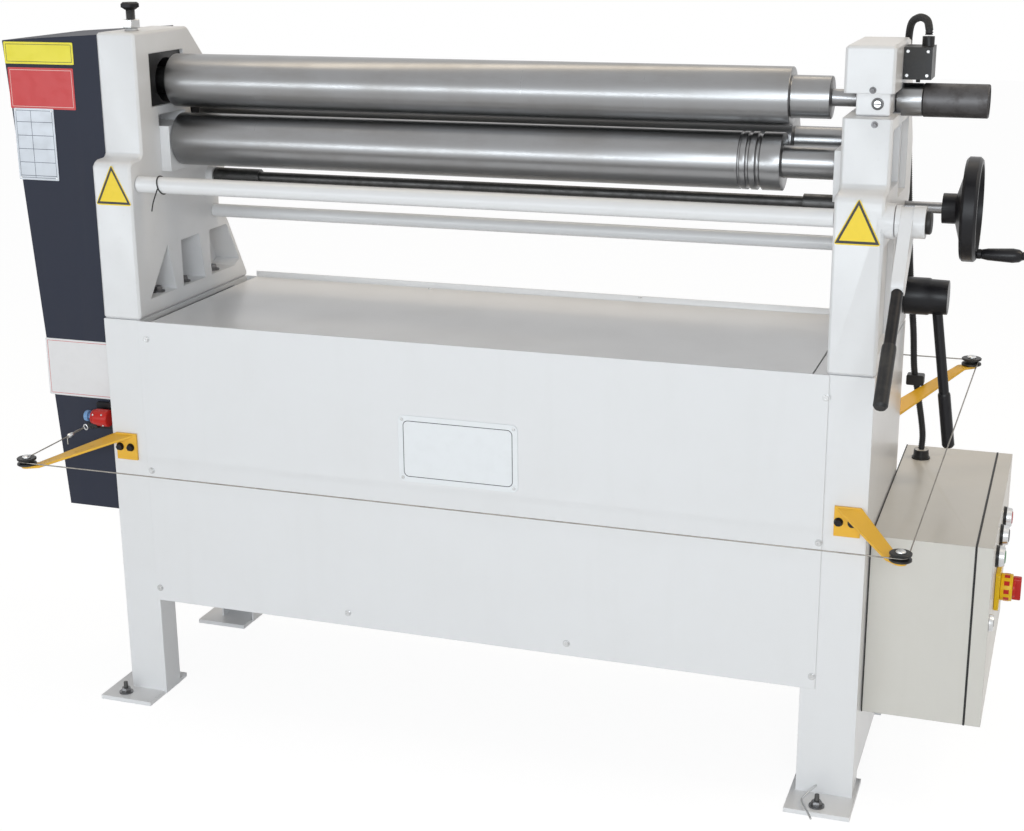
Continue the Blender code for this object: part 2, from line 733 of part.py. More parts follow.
def top_roll(swing):
    spin = pivot("top_roll_axis", (PIVOT_X, 0, TOP_AXIS_Z), swing)
    half = PIVOT_RING_WIDTH / 2
    ball = [(PIVOT_X + along, radius) for along, radius in ball_profile(PIVOT_BALL_RADIUS, half)]
    profile = [(PIVOT_X - half - 0.002, PIVOT_JOURNAL_RADIUS)]
    profile += [(PIVOT_X - half, PIVOT_JOURNAL_RADIUS)] + ball
    profile += [(PIVOT_X + half, PIVOT_JOURNAL_RADIUS + 0.001), (TOP_ROLL_LEFT, PIVOT_JOURNAL_RADIUS + 0.001)]
    profile += roll_body(TOP_ROLL_LEFT, TOP_ROLL_RIGHT)
    profile += [(TOP_ROLL_RIGHT, NECK_RADIUS), (NECK_END - ROLL_EDGE, NECK_RADIUS),
                (NECK_END, NECK_RADIUS - ROLL_EDGE), (NECK_END, TOP_SHAFT_RADIUS),
                (COLLAR_START, TOP_SHAFT_RADIUS), (COLLAR_START, COLLAR_RADIUS * 0.86),
                (COLLAR_START + COLLAR_RADIUS * 0.16, COLLAR_RADIUS * 0.96),
                (COLLAR_START + COLLAR_RADIUS * 0.4, COLLAR_RADIUS), (COLLAR_END, COLLAR_RADIUS)]
    spigot = PULL_TUBE_RADIUS - PULL_TUBE_WALL - SEAT
    profile += [(COLLAR_END, spigot), (COLLAR_END + SPIGOT_LENGTH, spigot)]
    roll = solid("top_roll", [turned_x(profile, 0, TOP_AXIS_Z, ROLL_SEGMENTS)], "ground_steel", spin)
    socket = hexagon_x(PIVOT_X - half - 0.002 - OVERRUN, PIVOT_X - half - 0.002 + SOCKET_DEPTH,
                       HEX_SOCKET_FLATS / 2, TOP_AXIS_Z)
    cut(roll, "top_roll_socket", [socket])
    solid("pull_tube", [sleeve((COLLAR_END + SEAT, 0, TOP_AXIS_Z), (PULL_TUBE_END, 0, TOP_AXIS_Z),
                               PULL_TUBE_RADIUS, PULL_TUBE_RADIUS - PULL_TUBE_WALL, 32)], "dark_steel", spin)
    return spin


SPIGOT_LENGTH = 0.030


def hexagon_x(x_low, x_high, flat_radius, z):
    corner = flat_radius / math.cos(math.pi / 6)
    return ring_stack([circle((x, 0, z), (1, 0, 0), corner, 6) for x in (x_low, x_high)])


def top_block(swing):
    """White bearing block of the top roll's free end, which leaves the slot when the roll swings out."""
    half = SLOT_HEIGHT / 2 - RUNNING
    body = solid("top_bearing_block", [block(TOP_BLOCK_X, TOP_BLOCK_Y,
                                             (TOP_AXIS_Z - half, TOP_AXIS_Z + half))], "frame_paint", swing)
    soften(body, 0.0015)
    cut(body, "top_block_bore", [rod_x(TOP_BLOCK_X[0] - OVERRUN, TOP_BLOCK_X[1] + OVERRUN, 0, TOP_AXIS_Z,
                                       TOP_SHAFT_RADIUS + RUNNING, 32)])


def pivot_housing():
    """Black insert in the left casting's window, with the ball seat of the top roll."""
    fit = SEAT
    low_x = -INNER - SIDE_THICKNESS + OUTER_WALL + fit
    high_x = -INNER - HOUSING_RECESS
    body = solid("pivot_housing", [block((low_x, high_x), (TOP_WINDOW_Y[0] + fit, TOP_WINDOW_Y[1] - fit),
                                         (TOP_WINDOW_Z[0] + fit, TOP_WINDOW_Z[1] - fit))], "cast_black")
    seat_radius = PIVOT_BALL_RADIUS + RUNNING
    half = PIVOT_RING_WIDTH / 2 - 0.002
    zone = [(PIVOT_X + along, radius) for along, radius in ball_profile(seat_radius, half)]
    flare = PIVOT_JOURNAL_RADIUS + 0.016
    mouth = high_x + OVERRUN
    profile = [(low_x - OVERRUN, zone[0][1])] + zone + [(high_x - 0.001, flare), (mouth, flare)]
    cut(body, "pivot_seat", [turned_x(profile, 0, TOP_AXIS_Z, ROLL_SEGMENTS)])


HOUSING_RECESS = 0.006


def adjusting_screw():
    """Hexagon screw, with its lock nut run down to the casting, that bears on the pivot housing."""
    x, y, top = PIVOT_X, ADJUSTER_Y, FRAME_HEIGHT
    nut = rod((x, y, top + SEAT), (x, y, top + ADJUSTER_NUT), ADJUSTER_HEAD, 6)
    fused("adjusting_screw", [stepped_screw(x, y, top), nut], "dark_steel")


def stepped_screw(x, y, top):
    """Screw turned in one piece with a six-sided head."""
    radius = ADJUSTER_RADIUS
    under, crown = top + ADJUSTER_HEAD_Z[0], top + ADJUSTER_HEAD_Z[1]
    levels = ((TOP_WINDOW_Z[1], radius), (under, radius), (under, ADJUSTER_HEAD), (crown, ADJUSTER_HEAD))
    rings = []
    for z, size in levels:
        points = []
        for index in range(18):
            angle = math.tau * index / 18
            reach = size
            if size > radius:
                nearest = (angle % (math.pi / 3)) - math.pi / 6
                reach = size * math.cos(math.pi / 6) / math.cos(nearest)
            points.append(Vector((x + reach * math.cos(angle), y + reach * math.sin(angle), z)))
        rings.append(points)
    return ring_stack(rings)


# Gears

def involute(angle):
    return math.tan(angle) - angle


def gear_outline(teeth, module, tip_radius, root_radius, thinning, steps=2):
    """Involute tooth outline, with a tooth centred on angle zero."""
    pitch_radius = teeth * module / 2
    pressure = math.radians(20)
    base = pitch_radius * math.cos(pressure)
    half_at_pitch = math.pi / (2 * teeth) - thinning / (2 * pitch_radius)
    start = max(base, root_radius)
    flank = []
    for step in range(steps + 1):
        radius = start + (tip_radius - start) * step / steps
        half = half_at_pitch + involute(pressure) - involute(math.acos(min(1.0, base / radius)))
        flank.append((radius, half))
    if start > root_radius:
        flank.insert(0, (root_radius, flank[0][1]))
    outline = []
    for tooth in range(teeth):
        centre = math.tau * tooth / teeth
        outline += [(radius, centre - half) for radius, half in flank]
        outline += [(radius, centre + half) for radius, half in flank[::-1]]
    return outline


def spur_gear(x_span, y, z, turn):
    """A spur gear on an X axis with one tooth at the given angle from +Y toward +Z."""
    outline = gear_outline(GEAR_TEETH, GEAR_MODULE, GEAR_TIP_RADIUS, GEAR_ROOT_RADIUS, GEAR_BACKLASH)
    points = [(y + r * math.cos(a + turn), z + r * math.sin(a + turn)) for r, a in outline]
    return prism_x(points, *x_span)


def mitre_gear(apex, axis, toward, hub_end, bore):
    """A mitre gear whose cone points back to the apex; one tooth is centred on the given direction."""
    apex, axis = Vector(apex), Vector(axis).normalized()
    toward = (Vector(toward) - axis * Vector(toward).dot(axis)).normalized()
    side = axis.cross(toward)
    lean = 1 / math.sqrt(2)
    tooth_half = math.pi / MITRE_TEETH * MITRE_TOOTH_SHARE
    rings = []
    for share in (1.0, MITRE_TOE_SHARE):
        levels = {"root": -MITRE_DEDENDUM, "tip": MITRE_ADDENDUM}
        ring = []
        for tooth in range(MITRE_TEETH):
            centre = math.tau * tooth / MITRE_TEETH
            widths = (("root", -1.35), ("tip", -0.62), ("tip", 0.62), ("root", 1.35))
            for level, spread in widths:
                radius = (MITRE_RADIUS + levels[level] * lean) * share
                along = (MITRE_RADIUS - levels[level] * lean) * share
                angle = centre + tooth_half * spread
                ring.append(apex + axis * along + radius * (math.cos(angle) * toward + math.sin(angle) * side))
        rings.append(ring)
    count = len(rings[0])
    back = MITRE_RADIUS + MITRE_DEDENDUM * lean
    hub = [(back, MITRE_HUB_RADIUS), (hub_end, MITRE_HUB_RADIUS)]
    for along, radius in hub:
        ring = []
        for index in range(count):
            base = rings[0][index] - apex
            flat = base - axis * base.dot(axis)
            ring.append(apex + axis * along + flat.normalized() * radius)
        rings.insert(0, ring)
    inner = []
    if bore:
        for along in (hub_end, MITRE_RADIUS * MITRE_TOE_SHARE):
            ring = []
            for index in range(count):
                base = rings[0][index] - apex
                flat = base - axis * base.dot(axis)
                ring.append(apex + axis * along + flat.normalized() * bore)
            inner.append(ring)
        ordered = rings + [inner[1], inner[0]]
        return ring_stack(ordered, True)
    return ring_stack(rings)


MITRE_TOOTH_SHARE = 0.36


# Roll train

def gear_train():
    """Gear shaft with its six-sided ball end, the lower gear and the motor pinion."""
    spin = pivot("top_gear_axis", (PIVOT_X, 0, TOP_AXIS_Z))
    inner_end = PIVOT_X - HEX_BALL_HALF
    profile = [(DRIVE_PLATE_X[0] + RUNNING, GEAR_SHAFT_RADIUS), (BUSH_X[1] + RUNNING * 2, GEAR_SHAFT_RADIUS),
               (BUSH_X[1] + RUNNING * 2, SHAFT_NECK_RADIUS), (inner_end + 0.001, SHAFT_NECK_RADIUS)]
    ball = ring_stack([circle((PIVOT_X + along, 0, TOP_AXIS_Z), (1, 0, 0),
                              math.sqrt(radius ** 2 - along ** 2), 6)
                       for radius in (HEX_BALL_FLATS / 2 / math.cos(math.pi / 6),)
                       for along in (-HEX_BALL_HALF, -HEX_BALL_HALF / 2, 0.0, HEX_BALL_HALF / 2, HEX_BALL_HALF)])
    fused("top_gear", [turned_x(profile, 0, TOP_AXIS_Z, 32), spur_gear(GEAR_X, 0, TOP_AXIS_Z, -math.pi / 2),
                       ball], "dark_steel", spin)
    lift = pivot("lower_lift_axis", (0, 0, LOWER_AXIS_Z))
    low_spin = pivot("lower_roll_axis", (0, 0, LOWER_AXIS_Z), lift)
    half_pitch = math.pi / GEAR_TEETH
    gear = solid("lower_gear", [spur_gear(GEAR_X, 0, LOWER_AXIS_Z, math.pi / 2 + half_pitch)],
                 "dark_steel", low_spin)
    cut(gear, "lower_gear_bore", [rod_x(GEAR_X[0] - OVERRUN, GEAR_X[1] + OVERRUN, 0, LOWER_AXIS_Z,
                                        LOWER_TAIL_RADIUS + SEAT, 24)])
    motor_spin = pivot("pinion_axis", (0, PINION_Y, TOP_AXIS_Z))
    teeth_down = -math.pi / 2
    offset = (math.pi - teeth_down) % (math.tau / GEAR_TEETH)
    meeting = math.pi
    top_phase = (0.0 - teeth_down) / (math.tau / GEAR_TEETH)
    fraction = top_phase - math.floor(top_phase)
    pinion_turn = meeting + (0.5 - (1.0 - fraction)) * (math.tau / GEAR_TEETH)
    pinion = fused("motor_pinion", [rod_x(GEARBOX_X[1] - PINION_SHAFT_IN, GEAR_X[1] - 0.001, PINION_Y, TOP_AXIS_Z,
                                          POST_RADIUS, 20),
                                    spur_gear(GEAR_X, PINION_Y, TOP_AXIS_Z, pinion_turn)],
                   "dark_steel", motor_spin)
    return lift, low_spin


HEX_BALL_HALF = 0.008
SHAFT_NECK_RADIUS = 0.0062
BUSH_X = (-0.6675, -0.6475)
GEARBOX_X = (-0.812, -0.7153)
PINION_SHAFT_IN = 0.012


def bushes():
    centre = TOP_AXIS_Z
    flange = GEAR_SHAFT_RADIUS + BUSH_WALL * 2
    outer = GEAR_SHAFT_RADIUS + BUSH_WALL
    bore = GEAR_SHAFT_RADIUS + RUNNING
    profile = [(BUSH_X[0], flange), (-OUTER - SEAT, flange), (-OUTER - SEAT, outer), (BUSH_X[1], outer),
               (BUSH_X[1], bore), (BUSH_X[0], bore)]
    rings = [circle((x, 0, centre), (1, 0, 0), radius, 24) for x, radius in profile]
    solid("gear_bush", [ring_stack(rings, True)], "bronze")


def lower_train(lift, spin):
    left_end = -(INNER + BLOCK_DEPTH - LOWER_JOURNAL_MARGIN)
    right_end = INNER + BLOCK_DEPTH - LOWER_JOURNAL_MARGIN
    profile = [(GEAR_X[0] - LOWER_JOURNAL_MARGIN, LOWER_TAIL_RADIUS), (left_end, LOWER_TAIL_RADIUS),
               (left_end, LOWER_JOURNAL_RADIUS), (LOWER_ROLL_LEFT, LOWER_JOURNAL_RADIUS),
               (LOWER_ROLL_LEFT, ROLL_RADIUS - ROLL_EDGE), (LOWER_ROLL_LEFT + ROLL_EDGE, ROLL_RADIUS)]
    for x, half in WIRE_GROOVES:
        for step in range(GROOVE_POINTS + 1):
            angle = math.pi * step / GROOVE_POINTS
            profile.append((x - half * math.cos(angle), ROLL_RADIUS - half * math.sin(angle)))
    profile += [(LOWER_ROLL_RIGHT - ROLL_EDGE, ROLL_RADIUS), (LOWER_ROLL_RIGHT, ROLL_RADIUS - ROLL_EDGE),
                (LOWER_ROLL_RIGHT, LOWER_JOURNAL_RADIUS), (right_end, LOWER_JOURNAL_RADIUS)]
    solid("lower_roll", [turned_x(profile, 0, LOWER_AXIS_Z, ROLL_SEGMENTS)], "ground_steel", spin)
    low = LOWER_AXIS_Z - LOWER_BLOCK_BELOW
    for side, name in ((-1, "lower_left_block"), (1, "lower_right_block")):
        body = block(side_span(side, -LOWER_BLOCK_PROUD, BLOCK_DEPTH), (-LOWER_WINDOW_HALF, LOWER_WINDOW_HALF),
                     (low, LOWER_AXIS_Z + LOWER_BLOCK_ABOVE))
        toe = block((side * MIDDLE - TOE_WIDTH / 2, side * MIDDLE + TOE_WIDTH / 2),
                    (TOE_FRONT, -LOWER_WINDOW_HALF / 2), (low, low + TOE_HEIGHT))
        bearing = fused(name, [body, toe], "frame_paint", lift)
        cut(bearing, name + "_bore", [rod_x(*side_span(side, -LOWER_BLOCK_PROUD - OVERRUN, BLOCK_DEPTH + OVERRUN),
                                            0, LOWER_AXIS_Z, LOWER_JOURNAL_RADIUS + RUNNING, ROLL_SEGMENTS)])


LOWER_JOURNAL_MARGIN = 0.002


def cam_outline():
    """Cam that lifts a flat toe evenly with angle, in the YZ plane of its resting pose."""
    rise = LOWER_AXIS_Z - LOWER_BLOCK_BELOW - TORSION_Z - SEAT
    points = []
    for step in range(CAM_POINTS + 1):
        angle = CAM_SWING * step / CAM_POINTS
        reach = rise + CAM_RATE * angle
        y = -reach * math.sin(angle) - CAM_RATE * math.cos(angle)
        z = reach * math.cos(angle) - CAM_RATE * math.sin(angle)
        points.append((TORSION_Y + y, TORSION_Z + z))
    for step in range(14):
        angle = math.tau * step / 14
        points.append((TORSION_Y + rise * math.cos(angle), TORSION_Z + rise * math.sin(angle)))
    return hull(points)


def pinch_mechanism():
    """Torsion shaft with its two cams, and the hand lever that turns it."""
    axis = pivot("pinch_lever_axis", (0, TORSION_Y, TORSION_Z))
    tube_end = INNER - RUNNING * 6
    left_end = -OUTER + SIDE_THICKNESS * 0.2 + RUNNING * 4
    profile = [(left_end, TORSION_SHAFT_RADIUS), (-tube_end, TORSION_SHAFT_RADIUS), (-tube_end, TORSION_TUBE_RADIUS),
               (tube_end, TORSION_TUBE_RADIUS), (tube_end, TORSION_SHAFT_RADIUS),
               (LEVER_CAP_END, TORSION_SHAFT_RADIUS)]
    cams = [prism_x(cam_outline(), side * MIDDLE - CAM_WIDTH / 2, side * MIDDLE + CAM_WIDTH / 2)
            for side in (-1, 1)]
    fused("pinch_shaft", [turned_x(profile, TORSION_Y, TORSION_Z, 20)] + cams, "frame_paint", axis)
    out = Vector((0, -math.cos(LEVER_ANGLE), -math.sin(LEVER_ANGLE)))
    wide = Vector((0, math.sin(LEVER_ANGLE), -math.cos(LEVER_ANGLE)))
    centre = Vector((0, TORSION_Y, TORSION_Z))
    outline = []
    for step in range(13):
        angle = math.pi / 2 + math.pi * step / 12
        outline.append((LEVER_HUB_RADIUS * 0.9 * math.cos(angle), LEVER_HUB_RADIUS * 0.9 * math.sin(angle)))
    for step in range(9):
        angle = -math.pi / 2 + math.pi * step / 8
        outline.append((LEVER_ARM_LENGTH - LEVER_ARM_WIDTH / 2 + LEVER_ARM_WIDTH / 2 * math.cos(angle),
                        LEVER_ARM_WIDTH / 2 * math.sin(angle)))
    arm = prism_along(outline, centre, out, wide, *LEVER_ARM_X)
    hub = turned_x([(LEVER_HUB_X[0], LEVER_HUB_RADIUS), (LEVER_ARM_X[0] + RUNNING, LEVER_HUB_RADIUS),
                    (LEVER_ARM_X[0] + RUNNING, LEVER_HUB_RADIUS * 0.8), (LEVER_ARM_X[1] - RUNNING, LEVER_HUB_RADIUS * 0.8),
                    (LEVER_ARM_X[1] - RUNNING, LEVER_HUB_RADIUS), (LEVER_HUB_X[1], LEVER_HUB_RADIUS)],
                   TORSION_Y, TORSION_Z, 20)
    lever = fused("pinch_lever", [arm, hub], "frame_paint", axis)
    cut(lever, "pinch_lever_bore", [rod_x(LEVER_HUB_X[0] - OVERRUN, LEVER_HUB_X[1] + OVERRUN, TORSION_Y, TORSION_Z,
                                          TORSION_SHAFT_RADIUS + SEAT, 24)])
    middle = Vector(((LEVER_ARM_X[0] + LEVER_ARM_X[1]) / 2, TORSION_Y, TORSION_Z))
    socket_start = middle + out * (LEVER_ARM_LENGTH - ROD_SOCKET)
    cut(lever, "pinch_rod_socket", [rod(socket_start, middle + out * (LEVER_ARM_LENGTH + OVERRUN),
                                        LEVER_ROD_RADIUS + SEAT, 20)])
    solid("pinch_rod", [rod(socket_start + out * SEAT, middle + out * (LEVER_LENGTH - ROD_SOCKET / 2),
                            LEVER_ROD_RADIUS, 20)], "zinc", axis)
    grip = solid("pinch_grip", [turned(middle, out, [(LEVER_ROD_END, LEVER_GRIP_RADIUS * 0.94),
                                                     (LEVER_ROD_END + 0.004, LEVER_GRIP_RADIUS),
                                                     (LEVER_LENGTH - 0.004, LEVER_GRIP_RADIUS),
                                                     (LEVER_LENGTH, LEVER_GRIP_RADIUS * 0.75)], 24)],
                 "black_plastic", axis)
    cut(grip, "pinch_grip_bore", [rod(middle + out * (LEVER_ROD_END - OVERRUN),
                                      middle + out * (LEVER_LENGTH - ROD_SOCKET / 2 + SEAT),
                                      LEVER_ROD_RADIUS + SEAT, 20)])


ROD_SOCKET = 0.018


# Rear roll

def rear_mechanism():
    lift = pivot("rear_lift_axis", REAR_AXIS)
    spin = pivot("rear_roll_axis", REAR_AXIS, lift)
    end = INNER + BLOCK_DEPTH - LOWER_JOURNAL_MARGIN
    profile = [(-end, REAR_JOURNAL_RADIUS), (LOWER_ROLL_LEFT, REAR_JOURNAL_RADIUS),
               (LOWER_ROLL_LEFT, ROLL_RADIUS - ROLL_EDGE), (LOWER_ROLL_LEFT + ROLL_EDGE, ROLL_RADIUS),
               (LOWER_ROLL_RIGHT - ROLL_EDGE, ROLL_RADIUS), (LOWER_ROLL_RIGHT, ROLL_RADIUS - ROLL_EDGE),
               (LOWER_ROLL_RIGHT, REAR_JOURNAL_RADIUS), (end, REAR_JOURNAL_RADIUS)]
    solid("rear_roll", [turned_x(profile, REAR_AXIS.y, REAR_AXIS.z, ROLL_SEGMENTS)], "ground_steel", spin)
    outline = slide_outline(0.0, REAR_BLOCK_BELOW, REAR_BLOCK_HALF)
    for side, name in ((-1, "rear_left_block"), (1, "rear_right_block")):
        body = prism_along(outline, REAR_AXIS, SLIDE_ACROSS, SLIDE_UP, *side_span(side, -REAR_BLOCK_PROUD, BLOCK_DEPTH))
        shaft = Vector((side * MIDDLE, REAR_SHAFT_Y, REAR_SHAFT_Z))
        foot = Vector((side * MIDDLE, REAR_AXIS.y, REAR_AXIS.z)) - SLIDE_UP * (REAR_BLOCK_BELOW - SCREW_SEAT)
        bearing = fused(name, [body, rod(shaft - SLIDE_UP * SCREW_BELOW, foot, SCREW_RADIUS, 16)], "frame_paint", lift)
        cut(bearing, name + "_bore", [rod_x(*side_span(side, -REAR_BLOCK_PROUD - OVERRUN, BLOCK_DEPTH + OVERRUN),
                                            REAR_AXIS.y, REAR_AXIS.z, REAR_JOURNAL_RADIUS + RUNNING, ROLL_SEGMENTS)])


SCREW_SEAT = 0.012


def handwheel_drive():
    """Mitre nuts, cross shaft, handwheel and its crank grip."""
    hub_end = MITRE_RADIUS + MITRE_HUB
    short_end = MITRE_RADIUS + MITRE_DEDENDUM + RUNNING * 4
    half_pitch = math.pi / MITRE_TEETH
    for side, name in ((1, "right_mitre_nut"), (-1, "left_mitre_nut")):
        apex = (side * MIDDLE, REAR_SHAFT_Y, REAR_SHAFT_Z)
        nut_axis = pivot(name + "_axis", apex)
        nut = mitre_gear(apex, SLIDE_UP, (1, 0, 0), hub_end, SCREW_RADIUS + RUNNING)
        solid(name, [nut], "bronze", nut_axis)
    shaft_axis = pivot("cross_shaft_axis", (0, REAR_SHAFT_Y, REAR_SHAFT_Z))
    gap_up = Matrix.Rotation(half_pitch, 3, "X") @ SLIDE_UP
    reach = MIDDLE - short_end + 0.002
    couple_left = (-(INNER - SHAFT_BOSS) + RUNNING * 6, -(INNER - SHAFT_BOSS) + RUNNING * 6 + COUPLING_LENGTH * 1.45)
    couple_right = (INNER - SHAFT_BOSS - RUNNING * 6 - COUPLING_LENGTH * 1.2, INNER - SHAFT_BOSS - RUNNING * 6)
    profile = [(-reach, CROSS_SHAFT_RADIUS), (couple_left[0], CROSS_SHAFT_RADIUS), (couple_left[0], COUPLING_RADIUS),
               (couple_left[1], COUPLING_RADIUS), (couple_left[1], CROSS_SHAFT_RADIUS),
               (couple_right[0], CROSS_SHAFT_RADIUS), (couple_right[0], COUPLING_RADIUS),
               (couple_right[1], COUPLING_RADIUS), (couple_right[1], CROSS_SHAFT_RADIUS), (reach, CROSS_SHAFT_RADIUS)]
    left_apex = (-MIDDLE, REAR_SHAFT_Y, REAR_SHAFT_Z)
    right_apex = (MIDDLE, REAR_SHAFT_Y, REAR_SHAFT_Z)
    fused("cross_shaft", [turned_x(profile, REAR_SHAFT_Y, REAR_SHAFT_Z, 16),
                          mitre_gear(left_apex, (1, 0, 0), gap_up, short_end, 0),
                          mitre_gear(right_apex, (-1, 0, 0), gap_up, short_end, 0)],
          "ground_steel", shaft_axis)
    wheel_axis = pivot("handwheel_axis", (WHEEL_HUB_X[0], REAR_SHAFT_Y, REAR_SHAFT_Z))
    stub = [(MIDDLE + short_end - 0.002, CROSS_SHAFT_RADIUS), (WHEEL_HUB_X[1] + WHEEL_NUT, CROSS_SHAFT_RADIUS)]
    fused("handwheel_shaft", [turned_x(stub, REAR_SHAFT_Y, REAR_SHAFT_Z, 16),
                              mitre_gear(right_apex, (1, 0, 0), gap_up, short_end, 0)],
          "ground_steel", wheel_axis)
    solid("crank_pin", [crank_pin()], "zinc", wheel_axis)
    handwheel(wheel_axis)


WHEEL_NUT = 0.006


def crank_place():
    return (REAR_SHAFT_Y + CRANK_OFFSET * math.cos(CRANK_ANGLE), REAR_SHAFT_Z + CRANK_OFFSET * math.sin(CRANK_ANGLE))


def crank_pin():
    """Shouldered pin in the wheel's rim on which the crank grip turns."""
    thin, low, high = CRANK_PIN_RADIUS, *CRANK_GRIP_X
    rim_in, rim_out = WHEEL_RIM_X
    shape = [(rim_in + WHEEL_WEB * 0.5 + SEAT, thin), (rim_out + SEAT, thin), (rim_out + SEAT, thin * 2),
             (low - RUNNING, thin * 2), (low - RUNNING, thin), (high + RUNNING, thin), (high + RUNNING, thin * 1.8),
             (high + thin, thin * 1.5)]
    return turned_x(shape, *crank_place(), 12)


def handwheel(axis):
    y, z = REAR_SHAFT_Y, REAR_SHAFT_Z
    bore = CROSS_SHAFT_RADIUS + SEAT
    hub_in, hub_out = WHEEL_HUB_X
    rim_in, rim_out = WHEEL_RIM_X
    inside = WHEEL_RADIUS - WHEEL_RIM_DEPTH
    web = WHEEL_WEB
    profile = [(hub_in, bore), (hub_in, WHEEL_HUB_RADIUS), (hub_out - web, WHEEL_HUB_RADIUS),
               (rim_in + web * 0.3, inside), (rim_in, inside + web * 0.3), (rim_in, WHEEL_RADIUS - web * 0.6),
               (rim_in + web * 0.6, WHEEL_RADIUS), (rim_out - web * 0.6, WHEEL_RADIUS), (rim_out, WHEEL_RADIUS - web * 0.6),
               (rim_out, inside + web * 0.3), (rim_in + web * 1.6, inside), (hub_out, WHEEL_HUB_RADIUS), (hub_out, bore)]
    rings = [circle((x, y, z), (1, 0, 0), radius, 30) for x, radius in profile]
    wheel = solid("handwheel", [ring_stack(rings, True)], "cast_black", axis)
    pin_y, pin_z = crank_place()
    cut(wheel, "crank_pin_hole", [rod_x(rim_in + web * 0.5, rim_out + OVERRUN, pin_y, pin_z, CRANK_PIN_RADIUS + SEAT, 16)])
    grip_axis = pivot("crank_grip_axis", (CRANK_GRIP_X[0], pin_y, pin_z), axis)
    bore = CRANK_PIN_RADIUS + RUNNING
    low, high = CRANK_GRIP_X
    shape = [(low, bore), (low, 0.0075), (low + 0.010, 0.0095), (high - 0.014, 0.0115), (high - 0.004, 0.0100),
             (high, 0.0070), (high, bore)]
    rings = [circle((x, pin_y, pin_z), (1, 0, 0), radius, 14) for x, radius in shape]
    solid("crank_grip", [ring_stack(rings, True)], "black_plastic", grip_axis)


# Covers, stand and fixed fittings

def gear_cover():
    y_low, y_high = COVER_Y
    z_low, z_high = COVER_Z
    sheet = COVER_SHEET
    inner_x = -OUTER - SEAT
    outline = [(inner_x, z_low), (COVER_BOTTOM_LEFT, z_low), (COVER_TOP_LEFT, z_high - 0.012), (inner_x, z_high)]
    inside = [(inner_x + OVERRUN, z_low + sheet), (COVER_BOTTOM_LEFT + sheet, z_low + sheet),
              (COVER_TOP_LEFT + sheet, z_high - 0.012 - sheet), (inner_x + OVERRUN, z_high - sheet)]
    cover = solid("gear_cover", [prism_y(outline, y_low, y_high)], "cover_paint")
    cut(cover, "gear_cover_inside", [prism_y(inside, y_low + sheet, y_high - sheet)])


def drive_plate():
    posts = [rod_x((DRIVE_PLATE_X[0] + DRIVE_PLATE_X[1]) / 2, -OUTER - SEAT, y, z, POST_RADIUS, 16)
             for y, z in POST_PLACES]
    plate = fused("drive_plate", [block(DRIVE_PLATE_X, DRIVE_PLATE_Y, DRIVE_PLATE_Z)] + posts, "cast_black")
    low, high = DRIVE_PLATE_X[0] - OVERRUN, DRIVE_PLATE_X[1] + OVERRUN
    cut(plate, "drive_plate_shaft_hole", [rod_x(low, high, 0, TOP_AXIS_Z, GEAR_SHAFT_RADIUS + RUNNING, 32)])
    cut(plate, "drive_plate_pinion_hole", [rod_x(low, high, PINION_Y, TOP_AXIS_Z, POST_RADIUS + RUNNING * 3, 24)])


def gearmotor():
    motor = turned((MOTOR_X, MOTOR_Y, 0), (0, 0, 1),
                   [(MOTOR_Z[0], MOTOR_RADIUS * 0.8), (MOTOR_Z[0] + 0.01, MOTOR_RADIUS * 0.92),
                    (MOTOR_Z[0] + 0.06, MOTOR_RADIUS * 0.92), (MOTOR_Z[0] + 0.06, MOTOR_RADIUS),
                    (MOTOR_Z[1] - 0.08, MOTOR_RADIUS), (MOTOR_Z[1] - 0.08, MOTOR_RADIUS * 0.75),
                    (GEARBOX_Z[0] + 0.006, MOTOR_RADIUS * 0.75)], 32)
    body = fused("gearmotor", [block(GEARBOX_X, GEARBOX_Y, GEARBOX_Z), motor], "motor_grey")
    cut(body, "gearmotor_bore", [rod_x(GEARBOX_X[1] - PINION_SHAFT_IN * 2, GEARBOX_X[1] + OVERRUN, PINION_Y,
                                       TOP_AXIS_Z, POST_RADIUS + RUNNING, 24)])


def side_frame(side):
    """Welded side of the stand: two leg channels, a top plate and the closed side skin."""
    name = "left_stand_side" if side < 0 else "right_stand_side"
    bottom = FOOT_THICKNESS / 2
    top = STAND_HEIGHT
    width = LEFT_LEG_WIDTH if side < 0 else LEG_WIDTH
    outer = OUTER - RUNNING
    skin_bottom = PANEL_BOTTOM if side < 0 else RIGHT_SKIRT_BOTTOM
    sheet = LEG_SHEET

    def x_span(from_outer, to_outer):
        return tuple(sorted((side * (outer - from_outer), side * (outer - to_outer))))

    pieces = [block(x_span(0, width), (FRAME_FRONT, FRAME_BACK), (top - HEAD_PLATE, top)),
              block(x_span(0, sheet), (FRAME_FRONT, FRAME_BACK), (skin_bottom, top - HEAD_PLATE / 2))]
    for front, direction in ((FRAME_FRONT, 1), (FRAME_BACK, -1)):
        face = tuple(sorted((front, front + direction * sheet)))
        web = tuple(sorted((front, front + direction * LEG_RETURN)))
        pieces.append(block(x_span(0, width), face, (bottom, top - HEAD_PLATE / 2)))
        pieces.append(block(x_span(0, sheet), web, (bottom, skin_bottom + sheet)))
        pieces.append(block(x_span(width - sheet, width), web, (bottom, top - HEAD_PLATE / 2)))
        toe = FOOT_FRONT[side] if direction > 0 else FRAME_FRONT + FRAME_BACK - FOOT_FRONT[side]
        foot_y = tuple(sorted((toe, toe + direction * FOOT_SIZE[1])))
        pieces.append(block(FOOT_X[side], foot_y, (0, FOOT_THICKNESS)))
    fused(name, pieces, "frame_paint")


